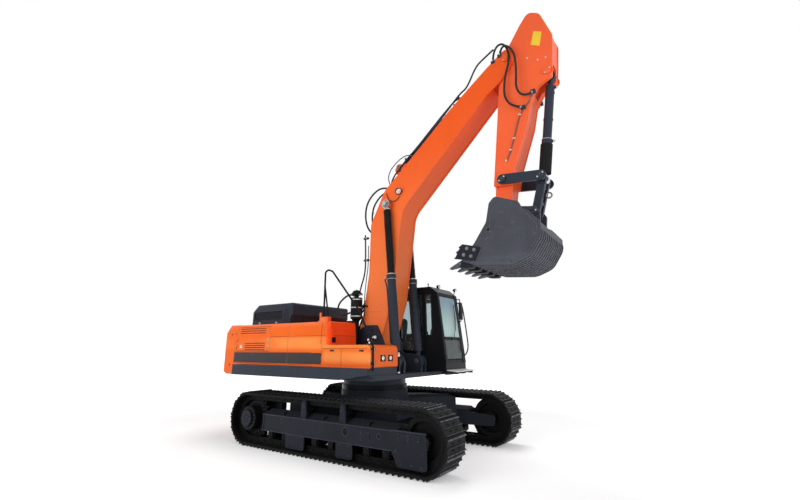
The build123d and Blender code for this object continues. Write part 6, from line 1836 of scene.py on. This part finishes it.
class CabTrim(Operator):
    """Seals, lamps, mirror, wiper, rails, film and vents of the cab"""

    bl_idname = "excavator.cab_trim"
    bl_label = "Cab trim"

    def execute(self, context):
        seals, plain, dark, bright, lamp, mirror = new_meshes(6)
        for x0, x1, z0, z1 in ((-0.30, 0.25, 2.18, 2.99), (0.33, 0.88, 1.80, 2.99), (0.96, 1.11, 2.12, 2.99)):
            frame_bars(seals, (x0 - 0.014, CAB_IN - 0.006, z0 - 0.014), (x1 + 0.014, CAB_IN + 0.004, z1 + 0.014),
                       0.026, 0.003)
        frame_bars(seals, (-0.314, CAB_OUT - 0.004, 2.166), (0.264, CAB_OUT + 0.006, 3.004), 0.026, 0.003)
        frame_bars(seals, (-0.386, 0.656, 2.166), (-0.376, 1.374, 3.004), 0.026, 0.003)
        for z0, z1 in ((-0.675, -0.238), (-0.222, 0.675)):
            for a, b in (((0, -0.415, z0), (0.007, -0.390, z1)), ((0, 0.390, z0), (0.007, 0.415, z1)),
                         ((0, -0.415, z0), (0.007, 0.415, z0 + 0.022)), ((0, -0.415, z1 - 0.022), (0.007, 0.415, z1))):
                sloped(seals, (a[0] - 0.004, a[1], a[2]), b)
        # wiper with its motor cover and its blade
        sloped(dark, (0.004, -0.090, -0.262), (0.034, 0.050, -0.205), 0.010)
        arm = [front_place() @ Vector(p) for p in ((0.036, 0.0, -0.235), (0.052, 0.10, 0.02), (0.034, 0.20, 0.24))]
        for a, b in zip(arm, arm[1:]):
            round_bar(dark, a, b, 0.007, sides=10)
        blade = [front_place() @ Vector(p) for p in ((0.016, 0.155, -0.05), (0.020, 0.215, 0.24), (0.016, 0.235, 0.52))]
        for a, b in zip(blade, blade[1:]):
            round_bar(dark, a, b, 0.008, 0.005, sides=8)
        # panel lines of the right wall, drip rails and roof hatch
        for z in (1.66, 2.08):
            round_bar(seals, (-0.375, CAB_IN, z - 0.02), (0.30, CAB_IN, z - 0.02), 0.003, sides=6)
        round_bar(seals, (0.29, CAB_IN, 1.46), (0.29, CAB_IN, 2.98), 0.003, sides=6)
        for y in (CAB_IN - 0.004, CAB_OUT + 0.004):
            round_bar(plain, (-0.36, y, 3.045), (1.20, y, 3.045), 0.010, sides=10)
        block(plain, (0.10, 0.68, 3.146), (0.82, 1.35, 3.172), 0.014)
        block(plain, (0.14, 0.72, 3.168), (0.78, 1.31, 3.182), 0.008)
        for y in (0.82, 1.21):
            block(bright, (0.105, y - 0.03, 3.17), (0.125, y + 0.03, 3.188), 0.003)
        # vents of the rear wall and the filter lid on the right wall
        for i in range(6):
            block(plain, (-0.392, 0.75, 1.70 + i * 0.045), (-0.374, 1.28, 1.722 + i * 0.045))
        block(plain, (-0.28, CAB_IN - 0.014, 1.72), (0.20, CAB_IN + 0.002, 2.00), 0.006)
        for i in range(7):
            block(dark, (-0.24, CAB_IN - 0.020, 1.745 + i * 0.034), (0.16, CAB_IN - 0.010, 1.757 + i * 0.034), 0.002)
        for x in (-0.26, 0.18):
            for z in (1.735, 1.985):
                bolt(bright, (x, CAB_IN - 0.014, z), (0, -1, 0), 0.007)
        # stub on the roof, and the two lamps at its front
        turned(dark, (0.98, 0.66, 3.15), UP, [(-0.004, 0.030), (0.010, 0.028), (0.014, 0.010), (0.060, 0.008),
                                              (0.066, 0.018), (0.088, 0.018), (0.094, SHUT)], 20)
        for x, y, z in ((1.06, 0.98, 3.165), (1.245, 1.44, 3.115)):
            round_bar(dark, (x - 0.02, y, z - 0.06), (x - 0.01, y, z + 0.01), 0.010, sides=10)
            head = (x, y, z + 0.035)
            turned(dark, head, (1, 0, -0.12), [(-0.045, SHUT), (-0.040, 0.022), (-0.012, 0.036), (0.022, 0.042),
                                               (0.030, 0.043), (0.030, 0.036)], 28)
            turned(lamp, head, (1, 0, -0.12), [(0.023, 0.037), (0.028, 0.032), (0.032, 0.014), (0.033, SHUT)], 28)
        # covers of the two front pillars
        sloped(plain, (-0.006, 0.335, -0.735), (0.014, 0.472, 0.735), 0.006)
        sloped(plain, (-0.006, -0.472, -0.735), (0.010, -0.405, 0.735), 0.006)
        # mirror at the left front corner, on its bracket
        bracket = ((1.25, 1.44, 2.93), (1.375, 1.41, 2.93), (1.385, 1.41, 2.45), (1.30, 1.45, 2.40))
        for a, b in zip(bracket, bracket[1:]):
            round_bar(dark, a, b, 0.011, sides=10)
        block(dark, (1.372, 1.335, 2.47), (1.412, 1.475, 2.86), 0.014)
        block(mirror, (1.369, 1.347, 2.485), (1.374, 1.463, 2.845), 0.001)
        # handrail at the left front corner
        rail = ((1.262, 1.485, 2.86), (1.36, 1.50, 2.86), (1.40, 1.505, 2.74), (1.485, 1.505, 1.98),
                (1.475, 1.505, 1.80), (1.405, 1.495, 1.70))
        pipe("cab_handrail", rail, 0.014, "upper", "cab_black", "dark_paint")
        # step on the left, with its tread
        block(plain, (0.30, 1.49, 1.395), (1.20, 1.56, 1.415))
        for i in range(5):
            block(dark, (0.36 + i * 0.17, 1.50, 1.414), (0.48 + i * 0.17, 1.55, 1.420), 0.002)
        piece(seals, "cab_seals", "upper", "boot_rubber")
        piece(plain, "cab_panels", "upper", "cab_black")
        piece(dark, "cab_fittings", "upper", "cab_black")
        piece(bright, "cab_bright", "upper", "zinc_fitting")
        piece(lamp, "roof_lamps", "upper", "lamp_lens")
        piece(mirror, "mirror_glass", "upper", "rod_chrome")
        # film over the upper windscreen, pale as a painted reflection
        film = bmesh.new()
        sloped(film, (0.0005, -0.392, -0.200), (0.0025, 0.340, 0.655), 0.0008)
        piece(film, "screen_film", "upper", "screen_film")
        # door: seal, rim of the lower panel, handle with its recess, and grab bar
        door, handle = new_meshes(2)
        x0, x1 = 0.41, 1.074
        frame_bars(door, (x0 - 0.012, CAB_OUT - 0.004, 2.068), (x1 + 0.012, CAB_OUT + 0.006, 2.922), 0.026, 0.003)
        frame_bars(door, (0.40, CAB_OUT - 0.002, 1.63), (1.08, CAB_OUT + 0.005, 2.00), 0.012, 0.002)
        block(handle, (0.985, CAB_OUT - 0.001, 1.93), (1.095, CAB_OUT + 0.010, 2.03))
        block(handle, (1.000, CAB_OUT + 0.008, 1.985), (1.085, CAB_OUT + 0.034, 2.005), 0.006)
        round_bar(handle, (1.012, CAB_OUT + 0.009, 1.955), (1.012, CAB_OUT + 0.016, 1.955), 0.011, sides=16)
        grab = ((0.50, CAB_OUT, 2.035), (0.50, CAB_OUT + 0.045, 2.035), (0.92, CAB_OUT + 0.045, 2.035),
                (0.92, CAB_OUT, 2.035))
        for a, b in zip(grab, grab[1:]):
            round_bar(handle, a, b, 0.011, sides=12)
        piece(door, "door_seal", "cab_door_body", "boot_rubber")
        piece(handle, "door_handle", "cab_door_body", "cab_black")
        return {"FINISHED"}


def cushion(mesh, centre, half, crown, seams, cuts=34, turn=None):
    """A closed crowned pad with sewn grooves; half is its half size and z its thickness, and seams are
    shares of the half width where the grooves run."""
    pad = bmesh.new()
    bmesh.ops.create_cube(pad, size=2.0)
    bmesh.ops.subdivide_edges(pad, edges=pad.edges, cuts=cuts, use_grid_fill=True)
    place = Matrix.Translation(centre) @ (turn or Matrix())
    power = 5.0     # the higher, the squarer the pad
    for v in pad.verts:
        x, y, z = v.co
        size = (abs(x) ** power + abs(y) ** power + abs(z) ** power) ** (1.0 / power)
        x, y, z = x / size, y / size, z / size
        swell = max(0.0, (1 - x * x)) * max(0.0, (1 - y * y))
        groove = sum(math.exp(-((abs(y) - s) / 0.035) ** 2) for s in seams)
        groove += 0.2 * math.exp(-((z + 0.10) / 0.10) ** 2)
        high = z * half[2] + (crown * swell if z > 0 else 0.0)
        if z > 0.2:
            high -= 0.007 * groove * (1 - x ** 8)
        pull = 1.0 - (0.012 * math.exp(-((z + 0.05) / 0.09) ** 2))
        v.co = place @ Vector((x * half[0] * pull, y * half[1] * pull, high))
    data = bpy.data.meshes.new("pad")
    pad.to_mesh(data)
    pad.free()
    mesh.from_mesh(data)
    bpy.data.meshes.remove(data)


class CabInside(Operator):
    """Padded seat, consoles, levers, pedals and monitor in the cab"""

    bl_idname = "excavator.cab_inside"
    bl_label = "Cab inside"

    def execute(self, context):
        back_turn = Matrix.Rotation(math.radians(-82.0), 4, "Y")
        pads = bmesh.new()
        cushion(pads, (0.260, CAB_MID, 1.850), (0.262, 0.250, 0.058), 0.018, (0.0, 0.62))
        cushion(pads, (-0.005, CAB_MID, 2.190), (0.345, 0.240, 0.052), 0.016, (0.0, 0.60), turn=back_turn)
        cushion(pads, (-0.068, CAB_MID, 2.600), (0.090, 0.150, 0.045), 0.012, (0.0,), turn=back_turn, cuts=22)
        for side in (-1, 1):
            cushion(pads, (0.21, CAB_MID + side * 0.332, 2.030), (0.155, 0.048, 0.022), 0.010, (), cuts=16)
        seat = piece(pads, "seat_pads", "upper", "woven_seat", smooth=80)
        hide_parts("operator_seat")
        plain, dark, bright, screen = new_meshes(4)
        # seat base with its bellows, slide rails and back shell
        block(plain, (0.03, CAB_MID - 0.20, 1.456), (0.46, CAB_MID + 0.20, 1.54), 0.010)
        for i in range(6):
            w = 0.185 if i % 2 else 0.200
            block(dark, (0.245 - w, CAB_MID - w, 1.54 + i * 0.035), (0.245 + w, CAB_MID + w, 1.575 + i * 0.035), 0.008)
        block(plain, (0.03, CAB_MID - 0.22, 1.75), (0.48, CAB_MID + 0.22, 1.800), 0.010)
        for y in (-0.16, 0.16):
            round_bar(bright, (0.02, CAB_MID + y, 1.775), (0.50, CAB_MID + y, 1.775), 0.012, sides=12)
        back = [(-0.02, 1.86), (0.020, 1.86), (-0.065, 2.52), (-0.105, 2.52)]
        plate(plain, [(x - 0.045, z) for x, z in back], CAB_MID - 0.20, CAB_MID + 0.20, 0.012)
        for y in (-0.06, 0.06):
            round_bar(bright, (-0.075, CAB_MID + y, 2.46), (-0.085, CAB_MID + y, 2.58), 0.007, sides=10)
        # belt buckle and recline knob
        block(dark, (0.02, CAB_MID + 0.245, 1.84), (0.06, CAB_MID + 0.262, 1.93), 0.005)
        turned(dark, (-0.01, CAB_MID - 0.235, 1.88), (0, -1, 0), [(0.0, 0.030), (0.018, 0.028), (0.022, SHUT)], 20)
        # consoles beside the seat
        for side in (-1, 1):
            y = CAB_MID + side * 0.332
            block(plain, (-0.055, y - 0.066, 1.460), (0.475, y + 0.066, 1.985), 0.018, 3)
            block(dark, (0.10, y - 0.060, 1.983), (0.465, y + 0.060, 2.004), 0.006)
            for k in range(5):
                key = y - 0.045 + k * 0.022
                round_bar(bright, (0.40, key, 2.003), (0.40, key, 2.010), 0.007, sides=12)
            block(plain, (0.47, y - 0.050, 1.90), (0.56, y + 0.050, 1.985), 0.014)
            # lever: folded boot, stalk and shaped grip
            turned(dark, (0.52, y, 1.98), (0.06, 0, 1),
                   [(0.0, 0.042), (0.012, 0.040), (0.016, 0.030), (0.028, 0.034), (0.032, 0.024), (0.044, 0.027),
                    (0.048, 0.018), (0.060, 0.018), (0.064, 0.010)], 22)
            round_bar(bright, (0.523, y, 2.02), (0.532, y, 2.12), 0.008, sides=12)
            turned(dark, (0.531, y, 2.10), (0.08, -side * 0.10, 1),
                   [(0.0, 0.014), (0.010, 0.021), (0.050, 0.018), (0.080, 0.022), (0.105, 0.026), (0.118, 0.020),
                    (0.124, SHUT)], 20)
            round_bar(bright, (0.548, y - side * 0.012, 2.205), (0.552, y - side * 0.013, 2.226), 0.007, sides=12)
            # travel levers and pedals
            y = CAB_MID + side * 0.085
            turned(dark, (0.92, y, 1.456), UP,
                   [(0.0, 0.050), (0.016, 0.046), (0.022, 0.032), (0.036, 0.034), (0.044, 0.014)], 22)
            round_bar(bright, (0.92, y, 1.48), (0.86, y, 1.90), 0.010, sides=12)
            round_bar(dark, (0.865, y, 1.865), (0.848, y, 1.985), 0.017, 0.015, 14)
            block(dark, (0.93, y - 0.050, 1.505), (1.13, y + 0.050, 1.525), 0.006, turn=Matrix.Rotation(-0.35, 4, "Y"))
            for k in range(5):
                x, z = 0.955 + k * 0.034, 1.522 + k * 0.0125
                block(bright, (x, y - 0.044, z), (x + 0.010, y + 0.044, z + 0.008), 0.002)
        # floor mat with ribs, monitor with its arm, switch panel
        block(dark, (-0.05, 0.61, 1.455), (1.32, 1.42, 1.463), 0.003)
        for k in range(14):
            block(dark, (0.55 + k * 0.055, 0.63, 1.462), (0.565 + k * 0.055, 1.40, 1.467), 0.002)
        round_bar(dark, (1.16, 0.60, 2.05), (1.06, 0.70, 2.13), 0.016, sides=12)
        block(dark, (1.02, 0.62, 2.08), (1.06, 0.86, 2.25), 0.010, turn=Matrix.Rotation(0.10, 4, "Y"))
        block(screen, (1.014, 0.64, 2.10), (1.022, 0.84, 2.23), 0.002, turn=Matrix.Rotation(0.10, 4, "Y"))
        for k in range(4):
            block(bright, (1.012, 0.66 + k * 0.045, 2.084), (1.018, 0.685 + k * 0.045, 2.093), 0.001)
        # wall trim at the rear, sun blind rolled at the top, air vents
        block(plain, (-0.322, 0.62, 1.47), (-0.20, 1.41, 2.10), 0.020)
        round_bar(plain, (1.10, 0.64, 3.03), (1.10, 1.39, 3.03), 0.024, sides=16)
        for y in (0.72, 1.00, 1.31):
            turned(dark, (-0.205, y, 2.03), FORWARD,
                   [(0.0, 0.045), (0.012, 0.045), (0.014, 0.038), (0.008, 0.030), (0.008, SHUT)], 24)
        piece(plain, "cab_consoles", "upper", "console_grey")
        piece(dark, "cab_controls", "upper", "boot_rubber")
        piece(bright, "cab_levers", "upper", "zinc_fitting")
        piece(screen, "cab_monitor", "upper", "tinted_glass")
        return {"FINISHED"}


class EngineTrim(Operator):
    """Covers, pipes and filters on the engine, seen when the hood is up"""

    bl_idname = "excavator.engine_trim"
    bl_label = "Engine trim"

    def execute(self, context):
        corners = frame["nodes"]["engine_block"].bound_box
        low, high = Vector(corners[0]), Vector(corners[6])
        top = high.z
        iron, bright, dark = new_meshes(3)
        length, middle = high.x - low.x, (low.x + high.x) / 2
        block(iron, (low.x + 0.12, -0.20, top - 0.01), (high.x - 0.14, 0.16, top + 0.035), 0.012, 3)
        for i in range(7):
            x = low.x + 0.16 + i * (length - 0.34) / 6
            for y in (-0.185, 0.145):
                bolt(bright, (x, y, top + 0.034), UP, 0.010)
            round_bar(iron, (x, 0.16, top + 0.008), (x, 0.42, top - 0.004), 0.020, sides=14)
        round_bar(iron, (low.x + 0.12, 0.42, top - 0.002), (high.x - 0.18, 0.42, top - 0.002), 0.032, sides=18)
        turned(iron, (middle + 0.10, 0.42, top - 0.010), (0, 1, 0),
               [(0.03, 0.030), (0.04, 0.055), (0.10, 0.060), (0.12, 0.045), (0.16, 0.045), (0.16, SHUT)], 26)
        for i in range(2):
            turned(dark, (low.x + 0.30 + i * 0.20, -0.46, top - 0.004), (0, 0, 1),
                   [(-0.004, 0.050), (0.030, 0.050), (0.042, 0.040), (0.042, 0.020), (0.050, 0.018), (0.050, SHUT)], 26)
        for i in range(3):
            y = -0.55 + i * 0.40
            block(dark, (high.x - 0.09, y, top - 0.012), (high.x - 0.03, y + 0.25, top + 0.030), 0.008)
        piece(iron, "engine_covers", "upper", "engine_iron")
        piece(bright, "engine_bolts", "upper", "pin_steel")
        piece(dark, "engine_filters", "upper", "slate_paint")
        for i, y in enumerate((-0.62, -0.58)):
            line = ((low.x + 0.20, y, top + 0.008), (middle, y - 0.05, top + 0.012), (high.x - 0.20, y, top + 0.008))
            pipe(f"engine_line_{i + 1}", line, 0.010, "upper", "hose_rubber", "rubber")
        return {"FINISHED"}


OPERATORS = (Stage, CadFinishes, CylinderBoots, CylinderTrim, PinCaps, BoomPlumbing, TipHoses, FootHoses, TrackTrim,
             FrameTrim, HousePanels, HoodTrim, DeckTrim, TailTrim, BoomTrim, BucketTrim, CabTrim, CabInside,
             EngineTrim)


class ExcavatorPanel(Panel):
    """Colours, sizes and one button for each group of pieces"""

    bl_idname = "VIEW3D_PT_excavator"
    bl_label = "Excavator"
    bl_space_type = "VIEW_3D"
    bl_region_type = "UI"
    bl_category = "Excavator"

    def draw(self, context):
        scene = context.scene
        for title, group in (("Paint", scene.excavator_paint), ("Sizes", scene.excavator_sizes),
                             ("Stage", scene.excavator_stage)):
            column = self.layout.column(align=True)
            column.label(text=title)
            for name in group.__annotations__:
                column.prop(group, name)
        column = self.layout.column(align=True)
        for operator in OPERATORS:
            column.operator(operator.bl_idname)


CLASSES = (PaintSettings, SizeSettings, StageSettings, *OPERATORS, ExcavatorPanel)


def register():
    for each in CLASSES:
        bpy.utils.register_class(each)
    bpy.types.Scene.excavator_paint = PointerProperty(type=PaintSettings)
    bpy.types.Scene.excavator_sizes = PointerProperty(type=SizeSettings)
    bpy.types.Scene.excavator_stage = PointerProperty(type=StageSettings)


def unregister():
    del bpy.types.Scene.excavator_stage
    del bpy.types.Scene.excavator_sizes
    del bpy.types.Scene.excavator_paint
    for each in reversed(CLASSES):
        bpy.utils.unregister_class(each)


def main():
    register()
    for operator in OPERATORS:
        group, name = operator.bl_idname.split(".")
        getattr(getattr(bpy.ops, group), name)()
    bpy.context.view_layer.update()


if __name__ == "__main__":
    main()
